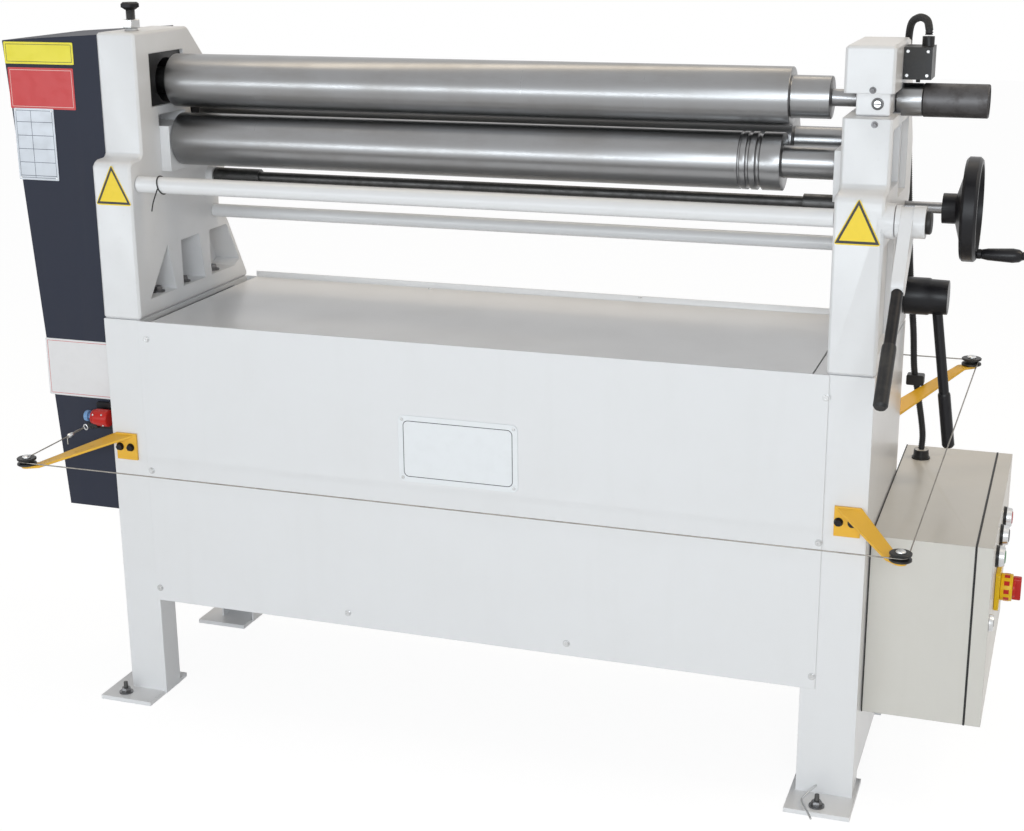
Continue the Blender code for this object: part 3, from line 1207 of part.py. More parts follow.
def stand():
    side_frame(-1)
    side_frame(1)
    front = FRAME_FRONT - SEAT
    sheet = TABLE_SHEET
    half = PANEL_HALF
    inside = OUTER - LEG_WIDTH - RUNNING * 8
    back = FRAME_BACK + SEAT
    low = (PANEL_BOTTOM, PANEL_BOTTOM + sheet)
    fused("front_panel", [block((-half, half), (front - sheet, front), (PANEL_BOTTOM, STAND_HEIGHT)),
                          block((-inside, inside), (front - sheet / 2, front + RAIL), low)], "frame_paint")
    fused("rear_panel", [block((-half, half), (back, back + sheet), (PANEL_BOTTOM, STAND_HEIGHT)),
                         block((-inside, inside), (back - RAIL, back + sheet / 2), low)], "frame_paint")
    span = (-inside, inside)
    fused("table_top", [block(span, (FRAME_FRONT, FRAME_BACK), (STAND_HEIGHT - sheet, STAND_HEIGHT)),
                        block(span, (FRAME_FRONT, FRAME_FRONT + sheet), (STAND_HEIGHT - RAIL, STAND_HEIGHT - sheet / 2)),
                        block(span, (FRAME_BACK - sheet, FRAME_BACK), (STAND_HEIGHT - RAIL, STAND_HEIGHT + LIP_HEIGHT))],
          "frame_paint")
    solid("rear_tie_tube", [rod_x(-INNER - TIE_SEAT + SEAT, INNER + TIE_SEAT - SEAT, TUBE_BACK_Y, TUBE_BACK_Z,
                                  TUBE_BACK_RADIUS, 20)], "frame_paint")


FOOT_X = {-1: (-0.695, -0.593), 1: (0.559, 0.664)}
FOOT_FRONT = {-1: -0.200, 1: -0.213}


def release_lever():
    axis = pivot("release_lever_axis", (OUTER, RELEASE_Y, RELEASE_Z))
    start = OUTER + SEAT * 6
    radius = RELEASE_HUB_RADIUS
    shape = [(start - SEAT * 2 - RELEASE_SHAFT_LENGTH, RELEASE_SHAFT_RADIUS), (start, RELEASE_SHAFT_RADIUS), (start, radius),
             (start + RELEASE_HUB_LENGTH * 0.55, radius), (start + RELEASE_HUB_LENGTH * 0.6, radius * 0.94),
             (start + RELEASE_HUB_LENGTH, radius * 0.92)]
    x = OUTER + RELEASE_ROD_X
    top = Vector((x, RELEASE_Y, RELEASE_Z - radius * 0.5))
    foot = Vector((x + RELEASE_FLARE, RELEASE_Y, RELEASE_Z - RELEASE_REACH - radius * 0.8))
    out = (foot - top).normalized()
    length = (foot - top).length
    grip = [(length - RELEASE_GRIP, RELEASE_GRIP_RADIUS * 0.94), (length - RELEASE_GRIP * 0.96, RELEASE_GRIP_RADIUS),
            (length - RELEASE_GRIP * 0.04, RELEASE_GRIP_RADIUS), (length, RELEASE_GRIP_RADIUS * 0.7)]
    fused("release_lever", [turned_x(shape, RELEASE_Y, RELEASE_Z, 20),
                            rod(top, foot - out * RELEASE_ROD_RADIUS, RELEASE_ROD_RADIUS, 12),
                            turned(top, out, grip, 12)], "black_plastic", axis)


def control_cabinet():
    """Hollow cabinet, switchgear plate, hinged door and the controls on the door."""
    sheet = BOX_SHEET
    x_low, x_high = BOX_X
    y_low, y_high = BOX_Y
    z_low, z_high = BOX_Z
    hinge_x, hinge_y = x_high + HINGE_RADIUS / 2, y_high + HINGE_RADIUS * 1.25
    spans = ((z_low + 0.040, z_low + 0.075), (z_high - 0.075, z_high - 0.040))
    pieces = [block(BOX_X, BOX_Y, BOX_Z)]
    for low, high in spans:
        middle = (low + high) / 2
        pieces.append(rod((hinge_x, hinge_y, low), (hinge_x, hinge_y, middle), HINGE_RADIUS, 16))
        pieces.append(rod((hinge_x, hinge_y, middle - 0.004), (hinge_x, hinge_y, high), HINGE_RADIUS / 2, 16))
        pieces.append(block((hinge_x - HINGE_RADIUS * 3, hinge_x - HINGE_RADIUS / 2), (y_high - sheet / 2, hinge_y + HINGE_RADIUS / 2),
                            (low + 0.001, middle - 0.001)))
    end = CONDUIT_ROUTE[-1]
    pieces.append(rod((end[0], end[1], z_high - sheet / 2), (end[0], end[1], end[2] - SEAT * 2), GLAND_RADIUS * 1.3, 12))
    box = fused("control_box", pieces, "cabinet_paint")
    cut(box, "control_box_inside", [block((x_low + sheet, x_high + OVERRUN), (y_low + sheet, y_high - sheet),
                                          (z_low + sheet, z_high - sheet))])
    door_axis = pivot("box_door_axis", (hinge_x, hinge_y, z_low))
    lap = sheet
    door_low, door_high = DOOR_X
    leaves = [block(DOOR_X, BOX_Y, BOX_Z)]
    for low, high in spans:
        middle = (low + high) / 2
        leaves.append(rod((hinge_x, hinge_y, middle + RUNNING), (hinge_x, hinge_y, high), HINGE_RADIUS, 16))
        leaves.append(block((hinge_x - HINGE_RADIUS / 3, door_low + HINGE_RADIUS), (y_high - lap / 2, hinge_y + HINGE_RADIUS / 3),
                            (middle + 0.001, high - 0.001)))
    for y in BUTTON_ROW:
        leaves.append(turned_x([(door_high - lap / 2, BEZEL_RADIUS), (door_high + BEZEL_DEPTH, BEZEL_RADIUS * 0.9)],
                               y, BUTTON_Z, 16))
    leaves.append(rod_x(door_high - lap / 2, door_high + LOCK_PROUD, LOCK_Y, LOCK_Z, BUTTON_RADIUS, 20))
    door = fused("box_door", leaves, "cabinet_paint", door_axis)
    cut(door, "box_door_inside", [block((door_low - OVERRUN, door_high - lap), (y_low + lap, y_high - lap),
                                        (z_low + lap, z_high - lap))])
    cut(door, "box_door_hinge_bores", [rod((hinge_x, hinge_y, low), (hinge_x, hinge_y, high + OVERRUN),
                                           HINGE_RADIUS / 2 + RUNNING, 16) for low, high in spans])
    holes = [rod_x(door_high - OVERRUN, door_high + OVERRUN, y, BUTTON_Z, BUTTON_RADIUS * 0.7, 16) for y in BUTTON_ROW]
    holes += [rod_x(door_high + BUTTON_TRAVEL / 2, door_high + OVERRUN * 2, y, BUTTON_Z, BUTTON_RADIUS + RUNNING, 16)
              for y in BUTTON_ROW]
    cut(door, "box_door_button_holes", holes[:len(BUTTON_ROW)])
    cut(door, "box_door_bezel_wells", holes[len(BUTTON_ROW):])
    rail_x = x_low + sheet + SEAT
    rail_z = (z_low + z_high) / 2
    pitch = (y_high - y_low) / (SWITCHGEAR_COUNT + 1.5)
    gear = [block((rail_x, rail_x + SWITCHGEAR_RAIL), (y_low + pitch / 2, y_high - pitch / 2),
                  (rail_z - SWITCHGEAR_HEIGHT / 2, rail_z + SWITCHGEAR_HEIGHT / 2))]
    for index in range(SWITCHGEAR_COUNT):
        y = y_low + pitch * (index + 0.85)
        gear.append(block((rail_x, rail_x + SWITCHGEAR_DEPTH), (y, y + pitch * 0.8),
                          (rail_z - SWITCHGEAR_HEIGHT, rail_z + SWITCHGEAR_HEIGHT)))
    fused("switchgear", gear, "black_plastic")
    controls(door_axis, door_high)


SWITCHGEAR_COUNT = 5
SWITCHGEAR_RAIL = 0.012
SWITCHGEAR_DEPTH = 0.070
SWITCHGEAR_HEIGHT = 0.045


def controls(door_axis, face):
    for index, y in enumerate(BUTTON_ROW):
        press = pivot(f"button_{index + 1}_axis", (face, y, BUTTON_Z), door_axis)
        start = face - BUTTON_STEM
        under = face + BUTTON_TRAVEL * 1.5 + SEAT * 2
        shape = [(start, BUTTON_RADIUS * 0.6), (under, BUTTON_RADIUS * 0.6), (under, BUTTON_RADIUS),
                 (face + BUTTON_PROUD * 0.92, BUTTON_RADIUS), (face + BUTTON_PROUD, BUTTON_RADIUS * 0.9)]
        solid(f"button_{index + 1}", [turned_x(shape, y, BUTTON_Z, 16)], BUTTON_FINISHES[index], press)
    half = SWITCH_PLATE / 2
    base = prism_x(rounded_outline((SWITCH_Y - half, SWITCH_Y + half), (SWITCH_Z - half, SWITCH_Z + half), half / 6),
                   face + SEAT, face + SWITCH_BASE)
    solid("switch_base", [base], "safety_yellow", door_axis)
    turn = pivot("main_switch_axis", (face, SWITCH_Y, SWITCH_Z), door_axis)
    start = face + SWITCH_BASE + RUNNING
    fused("main_switch", [turned_x([(start, half * 0.7), (start + SWITCH_SKIRT, half * 0.66)], SWITCH_Y, SWITCH_Z, 20),
                          block((start + SWITCH_SKIRT / 2, start + SWITCH_KNOB), (SWITCH_Y - half * 0.2, SWITCH_Y + half * 0.2),
                                (SWITCH_Z - half * 0.62, SWITCH_Z + half * 0.62))], "signal_red", turn)


BUTTON_STEM = 0.010
BUTTON_FINISHES = ("black_plastic", "black_plastic", "signal_red")
SWITCH_BASE = 0.008
SWITCH_SKIRT = 0.010
SWITCH_KNOB = 0.032
LOCK_PROUD = 0.005


def limit_switch():
    body = block(LIMIT_X, LIMIT_Y, LIMIT_Z)
    x = (LIMIT_X[0] + LIMIT_X[1]) / 2
    stem = rod((x, 0, LIMIT_Z[0] + 0.004), (x, 0, LIMIT_Z[0] - 0.003), 0.0025, 10)
    roller = rod_x(x - 0.003, x + 0.003, 0, LIMIT_Z[0] - 0.0032, 0.0024, 12)
    gland = rod((*GLAND_PLACE, LIMIT_Z[1] - GLAND_LENGTH / 2), (*GLAND_PLACE, LIMIT_Z[1] + GLAND_LENGTH), GLAND_RADIUS, 12)
    fused("limit_switch", [body, stem, roller, gland], "black_plastic")
    cord("switch_conduit", smooth_route(CONDUIT_ROUTE), CONDUIT_RADIUS, "black_plastic")


GLAND_PLACE = (0.6905, 0.012)
GLAND_LENGTH = 0.014
CONDUIT_ROUTE = ((0.6905, 0.012, 1.1940), (0.6903, 0.013, 1.203), (0.684, 0.034, 1.214), (0.668, 0.070, 1.215),
                 (0.652, 0.115, 1.198), (0.646, 0.165, 1.140), (0.648, 0.212, 1.030), (0.654, 0.236, 0.900),
                 (0.660, 0.262, 0.780), (0.668, 0.290, 0.680), (0.672, 0.306, 0.606), (0.680, 0.314, 0.560),
                 (0.6918, 0.318, 0.490), (0.692, 0.318, 0.456))


# Trip wire

def trip_wire():
    for index, ((root_x, back), (x, y)) in enumerate(zip(ARM_ROOTS, PULLEY_PLACES)):
        arm_z = FRONT_ARM_Z if back < 0 else REAR_ARM_Z
        face = (FRAME_FRONT - SEAT) if back < 0 else (FRAME_BACK + SEAT)
        outer_face = face + back * ARM_SHEET
        half = ARM_PLATE_WIDTH / 2
        root = Vector((root_x, (face + outer_face) / 2, arm_z))
        tip = Vector((x, y, arm_z))
        along = (tip - root).normalized()
        across = Vector((-along.y, along.x, 0)) * ARM_HALF
        end = tip + along * ARM_HALF
        outline = [root + across, root - across, end - across, end + across]
        plate = block((root_x - half, root_x + half), tuple(sorted((face, outer_face))),
                      (arm_z - ARM_SHEET, arm_z - ARM_SHEET + ARM_PLATE_HEIGHT))
        strip = prism_z([(p.x, p.y) for p in outline], arm_z - ARM_SHEET, arm_z)
        pin_top = arm_z + PULLEY_WIDTH + RUNNING * 4
        pin = turned((x, y, 0), (0, 0, 1), [(arm_z - ARM_SHEET / 2, PULLEY_PIN_RADIUS), (pin_top, PULLEY_PIN_RADIUS),
                                            (pin_top, PULLEY_PIN_RADIUS * 1.8),
                                            (pin_top + PIN_HEAD, PULLEY_PIN_RADIUS * 1.6)], 16)
        parts = [plate, strip, pin]
        if index == len(ARM_ROOTS) - 1:
            parts.append(rod((*WIRE_ANCHOR, arm_z - ARM_SHEET / 2), (*WIRE_ANCHOR, pin_top), PULLEY_PIN_RADIUS, 12))
        arm = fused(f"trip_arm_{index + 1}", parts, "safety_yellow")
        cut(arm, f"trip_arm_{index + 1}_trim", [block((root_x - half * 2, root_x + half * 2),
                                                      tuple(sorted((face - back * OVERRUN * 3, face))),
                                                      (arm_z - ARM_SHEET * 2, arm_z + ARM_SHEET))])
        axis = pivot(f"pulley_{index + 1}_axis", (x, y, arm_z))
        middle = arm_z + RUNNING * 2 + PULLEY_WIDTH / 2
        half_width = PULLEY_WIDTH / 2
        bore = PULLEY_PIN_RADIUS + RUNNING
        shape = [(-half_width, bore), (-half_width, PULLEY_RADIUS), (-half_width * 0.86, PULLEY_RADIUS),
                 (-half_width * 0.5, PULLEY_GROOVE_RADIUS), (half_width * 0.5, PULLEY_GROOVE_RADIUS),
                 (half_width * 0.86, PULLEY_RADIUS), (half_width, PULLEY_RADIUS), (half_width, bore)]
        rings = [circle((x, y, middle + along_z), (0, 0, 1), radius, 18) for along_z, radius in shape]
        solid(f"pulley_{index + 1}", [ring_stack(rings, True)], "black_plastic", axis)
    cord("trip_wire", wire_route(), WIRE_RADIUS, "zinc")


ARM_HALF = 0.010
PIN_HEAD = 0.004
WRAP_POINTS = 5


def wire_route():
    """From the rope switch round the outside of all four pulleys to a post on the last arm."""
    reach = PULLEY_GROOVE_RADIUS + WIRE_RADIUS + RUNNING * 2
    lift = RUNNING * 2 + PULLEY_WIDTH / 2
    heights = [FRONT_ARM_Z + lift, FRONT_ARM_Z + lift, REAR_ARM_Z + lift, REAR_ARM_Z + lift]
    corners = [Vector((x, y, z)) for (x, y), z in zip(PULLEY_PLACES, heights)]
    start = Vector(WIRE_START)
    finish = Vector(WIRE_END)
    stops = [start] + corners + [finish]
    route = [start]
    for index in range(1, 5):
        before, here, after = stops[index - 1], stops[index], stops[index + 1]
        side_in = outer_normal(before, here) if index > 1 else outer_normal(start, here)
        side_out = outer_normal(here, after)
        first = math.atan2(side_in.y, side_in.x)
        last = math.atan2(side_out.y, side_out.x)
        while last < first:
            last += math.tau
        for step in range(WRAP_POINTS + 1):
            angle = first + (last - first) * step / WRAP_POINTS
            route.append(here + Vector((math.cos(angle), math.sin(angle), 0)) * reach)
    route.append(finish)
    return route


def outer_normal(start, end):
    """Horizontal normal on the right of the travel direction, which is the outside of the loop."""
    along = (end - start).normalized()
    return Vector((along.y, -along.x, 0)).normalized()


WIRE_START = (-0.7300, -0.1280, 0.4715)
WIRE_END = (-0.7025, 0.3005, 0.6141)
WIRE_ANCHOR = (-0.6970, 0.2978)


def rope_switch():
    low, high = ROPE_BODY_X
    y, z = ROPE_PLACE
    bracket_y = COVER_Y[0] - SEAT
    shelf = z - ROPE_RADIUS
    wall = block((low - ARM_SHEET, high + ARM_SHEET), (bracket_y - ARM_SHEET, bracket_y),
                 (z - ROPE_RADIUS * 2.4, z + ROPE_RADIUS * 1.3))
    tray = block((BOOT_PLACE[0] - ARM_SHEET, high), (y - ROPE_RADIUS / 2, bracket_y - ARM_SHEET / 2),
                 (shelf - ARM_SHEET, shelf + ARM_SHEET / 2))
    boot = turned((*BOOT_PLACE, 0), (0, 0, 1), [(BOOT_Z[0], BOOT_RADIUS * 0.4), (BOOT_Z[1], BOOT_RADIUS * 0.9),
                                                (shelf - ARM_SHEET / 2, BOOT_RADIUS)], 16)
    switch = fused("rope_switch", [wall, tray, rod_x(low, high, y, z, ROPE_RADIUS, 24), boot], "signal_red")
    stem = ROPE_RADIUS * 0.3
    cut(switch, "rope_knob_bore", [rod_x(low - OVERRUN, low + ROPE_STEM * 3, y, z, stem + RUNNING)])
    axis = pivot("rope_reset_axis", (low, y, z))
    shape = [(low - ROPE_KNOB, ROPE_RADIUS * 0.5), (low - ROPE_KNOB + 0.002, ROPE_RADIUS * 0.6), (low - ROPE_STEM, ROPE_RADIUS * 0.6),
             (low - ROPE_STEM, stem), (low + ROPE_STEM, stem)]
    solid("rope_reset_knob", [turned_x(shape, y, z, 24)], "reset_blue", axis)


ROPE_BODY_X = (-0.717, -0.682)
ROPE_PLACE = (-0.124, 0.5165)
ROPE_RADIUS = 0.0165
ROPE_KNOB = 0.012
ROPE_STEM = 0.0035
BOOT_PLACE = (-0.730, -0.128)
BOOT_Z = (0.4735, 0.480)
BOOT_RADIUS = 0.010


# Assembly

def centre_on_base():
    """Moves everything so the box round the machine stands centred on the origin."""
    bpy.context.view_layer.update()
    graph = bpy.context.evaluated_depsgraph_get()
    low = Vector((1e9, 1e9, 1e9))
    high = -low
    for item in bpy.data.objects:
        if item.type not in {"MESH", "CURVE"} or item.hide_render:
            continue
        shaped = item.evaluated_get(graph)
        mesh_data = shaped.to_mesh()
        for vertex in mesh_data.vertices:
            place = shaped.matrix_world @ vertex.co
            low = Vector(map(min, low, place))
            high = Vector(map(max, high, place))
        shaped.to_mesh_clear()
    shift = Vector((-(low.x + high.x) / 2, -(low.y + high.y) / 2, -low.z))
    root = bpy.data.objects.new("machine_origin", None)
    bpy.context.collection.objects.link(root)
    for item in list(bpy.data.objects):
        if item.parent is None and item is not root:
            item.parent = root
    root.location = shift
    print("origin shift (mm)", [round(value * 1000, 3) for value in shift])
    print("size (mm)", [round(value * 1000, 2) for value in high - low])


def build():
    clear_scene()
    side_casting(-1)
    side_casting(1)
    swing = pivot("top_swing_axis", (PIVOT_X, 0, TOP_AXIS_Z))
    top_roll(swing)
    top_block(swing)
    pivot_housing()
    adjusting_screw()
    lift, spin = gear_train()
    bushes()
    lower_train(lift, spin)
    pinch_mechanism()
    rear_mechanism()
    handwheel_drive()
    gear_cover()
    drive_plate()
    gearmotor()
    stand()
    release_lever()
    control_cabinet()
    limit_switch()
    trip_wire()
    rope_switch()
    centre_on_base()


build()
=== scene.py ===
"""Dressed scene of a motor-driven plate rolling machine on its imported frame.

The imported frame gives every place; the classes below add the turned, painted and plated surfaces,
the fasteners, the plates and the cords, and the studio round them.
"""
import logging
import math
from dataclasses import dataclass
from enum import Enum
from typing import Sequence

import bmesh
import bpy
from mathutils import Matrix, Vector


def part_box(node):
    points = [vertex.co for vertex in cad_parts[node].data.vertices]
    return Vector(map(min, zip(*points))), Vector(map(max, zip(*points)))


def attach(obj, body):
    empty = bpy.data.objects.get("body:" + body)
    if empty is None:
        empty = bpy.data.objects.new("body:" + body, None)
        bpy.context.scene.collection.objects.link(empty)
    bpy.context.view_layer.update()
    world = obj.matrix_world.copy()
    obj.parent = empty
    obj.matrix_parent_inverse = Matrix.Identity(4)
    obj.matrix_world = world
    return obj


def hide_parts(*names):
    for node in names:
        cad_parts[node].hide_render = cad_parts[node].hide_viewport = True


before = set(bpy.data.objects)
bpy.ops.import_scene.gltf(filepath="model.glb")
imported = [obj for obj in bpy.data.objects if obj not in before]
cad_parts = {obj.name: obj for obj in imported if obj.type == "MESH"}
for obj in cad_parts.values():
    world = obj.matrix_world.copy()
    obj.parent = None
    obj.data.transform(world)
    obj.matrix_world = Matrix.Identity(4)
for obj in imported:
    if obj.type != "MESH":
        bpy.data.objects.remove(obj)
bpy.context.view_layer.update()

LOG = logging.getLogger("plate_rolls")
Point = tuple[float, float, float]
Colour = tuple[float, float, float, float]
Plate = tuple[float, float, float, float]
Pair = tuple[float, float]
Pairs = tuple[Pair, ...]
Profile = Sequence[Pair]
Mesh = bmesh.types.BMesh
Object = bpy.types.Object
Socket = bpy.types.NodeSocket

SEAT = 0.0003
SMOOTH_ANGLE = math.radians(32)
ROUND = 96
MEDIUM_ROUND = 48
SMALL_ROUND = 24
CORE = 0.0008
MERGE_DISTANCE = 1e-6
FLAT_ANGLE = math.radians(1.0)
BEVEL_ANGLE = math.radians(35)
TUBE_ANGLE = math.radians(60)
HOSE_ANGLE = math.radians(50)
CORNER_STEPS = 4
CROWN_SHARE = 0.86
WASHER_SIDES = 28
RIB_STEPS = 4.0
ARC_STEPS = 8
SENSOR_WIDTH = 36.0
FAR_CLIP = 60.0
EYE_RAYS = ("Is Camera Ray", "Is Glossy Ray", "Is Transmission Ray")


class Axis(Enum):
    """Direction in which a turned piece runs."""

    X = (1.0, 0.0, 0.0)
    Y = (0.0, 1.0, 0.0)
    Z = (0.0, 0.0, 1.0)


X_AXIS, Y_AXIS, Z_AXIS = (Vector(axis.value) for axis in Axis)


def tone(red: int, green: int, blue: int) -> Colour:
    """Linear colour of a display colour given in 0 to 255.

    Args:
        red: Red share.
        green: Green share.
        blue: Blue share.

    Returns:
        The colour as Blender's shaders read it.
    """
    shares = []
    for value in (red, green, blue):
        share = value / 255
        shares.append(share / 12.92 if share <= 0.04045 else ((share + 0.055) / 1.055) ** 2.4)
    return (*shares, 1.0)


# Shader building

class Signal:
    """A number on its way through a material, with ordinary arithmetic."""

    def __init__(self, graph: "Graph", socket: Socket) -> None:
        """Wraps a socket of the graph."""
        self.graph = graph
        self.socket = socket

    def _math(self, operation: str, *values: object) -> "Signal":
        """Adds one Math node."""
        return self.graph.node("ShaderNodeMath", {"operation": operation}, dict(enumerate(values)))

    def __add__(self, other: object) -> "Signal":
        """Sum."""
        return self._math("ADD", self, other)

    def __radd__(self, other: object) -> "Signal":
        """Reflected sum."""
        return self._math("ADD", other, self)

    def __sub__(self, other: object) -> "Signal":
        """Difference."""
        return self._math("SUBTRACT", self, other)

    def __rsub__(self, other: object) -> "Signal":
        """Reflected difference."""
        return self._math("SUBTRACT", other, self)

    def __mul__(self, other: object) -> "Signal":
        """Product."""
        return self._math("MULTIPLY", self, other)

    def __rmul__(self, other: object) -> "Signal":
        """Reflected product."""
        return self._math("MULTIPLY", other, self)

    def power(self, exponent: float) -> "Signal":
        """Power."""
        return self._math("POWER", self, exponent)

    def over(self, limit: float) -> "Signal":
        """One where the value passes the limit, else nought."""
        return self._math("GREATER_THAN", self, limit)

    def under(self, limit: float) -> "Signal":
        """One where the value stays below the limit, else nought."""
        return self._math("LESS_THAN", self, limit)

    def absolute(self) -> "Signal":
        """Value without its sign."""
        return self._math("ABSOLUTE", self)

    def lesser(self, other: object) -> "Signal":
        """The smaller of two values."""
        return self._math("MINIMUM", self, other)

    def greater(self, other: object) -> "Signal":
        """The larger of two values."""
        return self._math("MAXIMUM", self, other)

    def folded(self, span: float) -> "Signal":
        """Value that runs to and fro between nought and the span."""
        return self._math("PINGPONG", self, span)

    def clamped(self, low: float, high: float) -> "Signal":
        """Value moved from the span low..high to 0..1 and held there."""
        return self.graph.node("ShaderNodeMapRange", {"clamp": True},
                               {0: self, 1: low, 2: high, 3: 0.0, 4: 1.0})


class Graph:
    """Node tree of one material."""

    def __init__(self, name: str) -> None:
        """Starts a material with a bare Principled shader.

        Args:
            name: Material name.
        """
        self.material = bpy.data.materials.new(name)
        self.material.use_nodes = True
        self.tree = self.material.node_tree
        self.shader = self.tree.nodes["Principled BSDF"]

    def node(self, kind: str, settings: dict[str, object], values: dict[object, object],
             output: object = 0) -> Signal:
        """Adds any node.

        Args:
            kind: Blender's type name.
            settings: Properties set before the sockets.
            values: Socket name or number to a number, colour or Signal.
            output: Which output is wanted.

        Returns:
            The wanted output.
        """
        made = self.tree.nodes.new(kind)
        for key, value in settings.items():
            setattr(made, key, value)
        for key, value in values.items():
            self.feed(made.inputs[key], value)
        return Signal(self, made.outputs[output])

    def feed(self, socket: Socket, value: object) -> None:
        """Sets a socket to a value or links a signal to it.

        Args:
            socket: Input to set.
            value: Number, colour or Signal.
        """
        if isinstance(value, Signal):
            self.tree.links.new(value.socket, socket)
        else:
            socket.default_value = value

    def place(self, scale: Point = (1.0, 1.0, 1.0), turn: Point = (0.0, 0.0, 0.0)) -> Signal:
        """Object coordinates, stretched and turned."""
        coordinates = self.node("ShaderNodeTexCoord", {}, {}, "Object")
        return self.node("ShaderNodeMapping", {}, {"Vector": coordinates, "Scale": scale, "Rotation": turn})

    def front_plane(self, centre: Point) -> list[Signal]:
        """Distances across and up from the centre of a sheet that faces the front.

        Args:
            centre: Centre in metres.

        Returns:
            The two distances.
        """
        coordinates = self.node("ShaderNodeTexCoord", {}, {}, "Object")
        return [self.node("ShaderNodeSeparateXYZ", {}, {0: coordinates}, label) - centre["XYZ".index(label)]
                for label in "XZ"]

    def film_wear(self) -> Signal:
        """Faint clouds of wear on a printed film, which also get a fine grain.

        Returns:
            Share of wear.
        """
        wear = self.noise(self.place(), 60.0, 5.0).clamped(0.45, 0.8)
        self.relief(self.noise(self.place(), 500.0, 2.0), 0.05, 0.0002)
        return wear

    def noise(self, where: Signal, scale: float, detail: float = 4.0, roughness: float = 0.55) -> Signal:
        """Noise between about 0.3 and 0.7."""
        return self.node("ShaderNodeTexNoise", {},
                         {"Vector": where, "Scale": scale, "Detail": detail, "Roughness": roughness}, "Fac")

    def blend(self, share: object, first: object, second: object) -> Signal:
        """Mix of two colours."""
        return self.node("ShaderNodeMix", {"data_type": "RGBA"}, {0: share, 6: first, 7: second}, 2)

    def relief(self, height: Signal, strength: float, distance: float, edge: float = 0.0) -> None:
        """Bump from a height, over edges that look rounded by the given radius.

        Args:
            height: Height that drives the bump.
            strength: Share of the bump.
            distance: Height of the bump in metres.
            edge: Radius in metres.
        """
        values: dict[object, object] = {"Strength": strength, "Distance": distance, "Height": height}
        if edge:
            values["Normal"] = self.node("ShaderNodeBevel", {"samples": 4}, {"Radius": edge})
        self.feed(self.shader.inputs["Normal"], self.node("ShaderNodeBump", {}, values))

    def surface(self, **values: object) -> None:
        """Sets the Principled shader's sockets by their names with underscores."""
        for key, value in values.items():
            self.feed(self.shader.inputs[key.replace("_", " ")], value)


@dataclass(frozen=True)
class Paint:
    """Sprayed machine enamel with a fine orange peel, handling marks and dust."""

    name: str
    colour: Colour
    dirt: Colour
    dirt_share: float = 0.10
    roughness: float = 0.30
    peel: float = 0.10
    peel_size: float = 260.0
    edge: float = 0.0012
    coat: float = 0.25
    shine: float = 0.5

    def build(self) -> bpy.types.Material:
        """Makes the material.

        Returns:
            The material.
        """
        graph = Graph(self.name)
        where = graph.place()
        cloud = graph.noise(where, 7.0, 5.0, 0.6).clamped(0.42, 0.78)
        speck = graph.noise(where, 85.0, 6.0, 0.7).clamped(0.60, 0.78)
        streak = graph.noise(graph.place((14.0, 14.0, 1.6)), 2.2, 4.0).clamped(0.52, 0.85)
        grime = (cloud * 0.45 + speck * 0.30 + streak * 0.35) * self.dirt_share
        graph.surface(Base_Color=graph.blend(grime, self.colour, self.dirt),
                      Roughness=cloud * 0.10 + speck * 0.08 + self.roughness,
                      Coat_Weight=self.coat, Coat_Roughness=0.18, Specular_IOR_Level=self.shine)
        graph.relief(graph.noise(where, self.peel_size, 2.0), self.peel, 0.0004, self.edge)
        return graph.material


@dataclass(frozen=True)
class Casting:
    """Enamel over filled cast iron, with the slow waves of the sand mould under it."""

    name: str
    colour: Colour
    dirt: Colour
    roughness: float = 0.34
    grain: float = 0.35
    edge: float = 0.0030

    def build(self) -> bpy.types.Material:
        """Makes the material.

        Returns:
            The material.
        """
        graph = Graph(self.name)
        where = graph.place()
        cloud = graph.noise(where, 9.0, 6.0, 0.62).clamped(0.40, 0.75)
        pit = graph.noise(where, 70.0, 5.0, 0.65).clamped(0.62, 0.80)
        graph.surface(Base_Color=graph.blend((cloud * 0.10 + pit * 0.12), self.colour, self.dirt),
                      Roughness=cloud * 0.10 + self.roughness, Coat_Weight=0.2, Coat_Roughness=0.2)
        height = graph.noise(where, 28.0, 5.0, 0.6) * 0.7 + graph.noise(where, 190.0, 3.0) * 0.3
        graph.relief(height, self.grain, 0.0008, self.edge)
        return graph.material


@dataclass(frozen=True)
class GroundSteel:
    """Turned and ground steel: rings round the X axis, oil smudges and a warm cast."""

    name: str
    colour: Colour
    smudge: Colour
    roughness: float = 0.29
    rings: float = 700.0
    marks: float = 0.03
    edge: float = 0.0006

    def build(self) -> bpy.types.Material:
        """Makes the material.

        Returns:
            The material.
        """
        graph = Graph(self.name)
        ring = graph.noise(graph.place((self.rings, 2.0, 2.0)), 1.0, 3.0, 0.6)
        band = graph.noise(graph.place((26.0, 1.5, 1.5)), 1.0, 3.0, 0.5)
        smear = graph.noise(graph.place((5.0, 16.0, 16.0)), 1.0, 5.0, 0.65).clamped(0.46, 0.80)
        dull = ring * 0.08 + smear * 0.07 + band * 0.05 + (self.roughness - 0.06)
        graph.surface(Base_Color=graph.blend(smear * 0.40 + band * 0.22, self.colour, self.smudge),
                      Metallic=1.0, Roughness=dull)
        graph.relief(ring, self.marks, 0.0001, self.edge)
        return graph.material


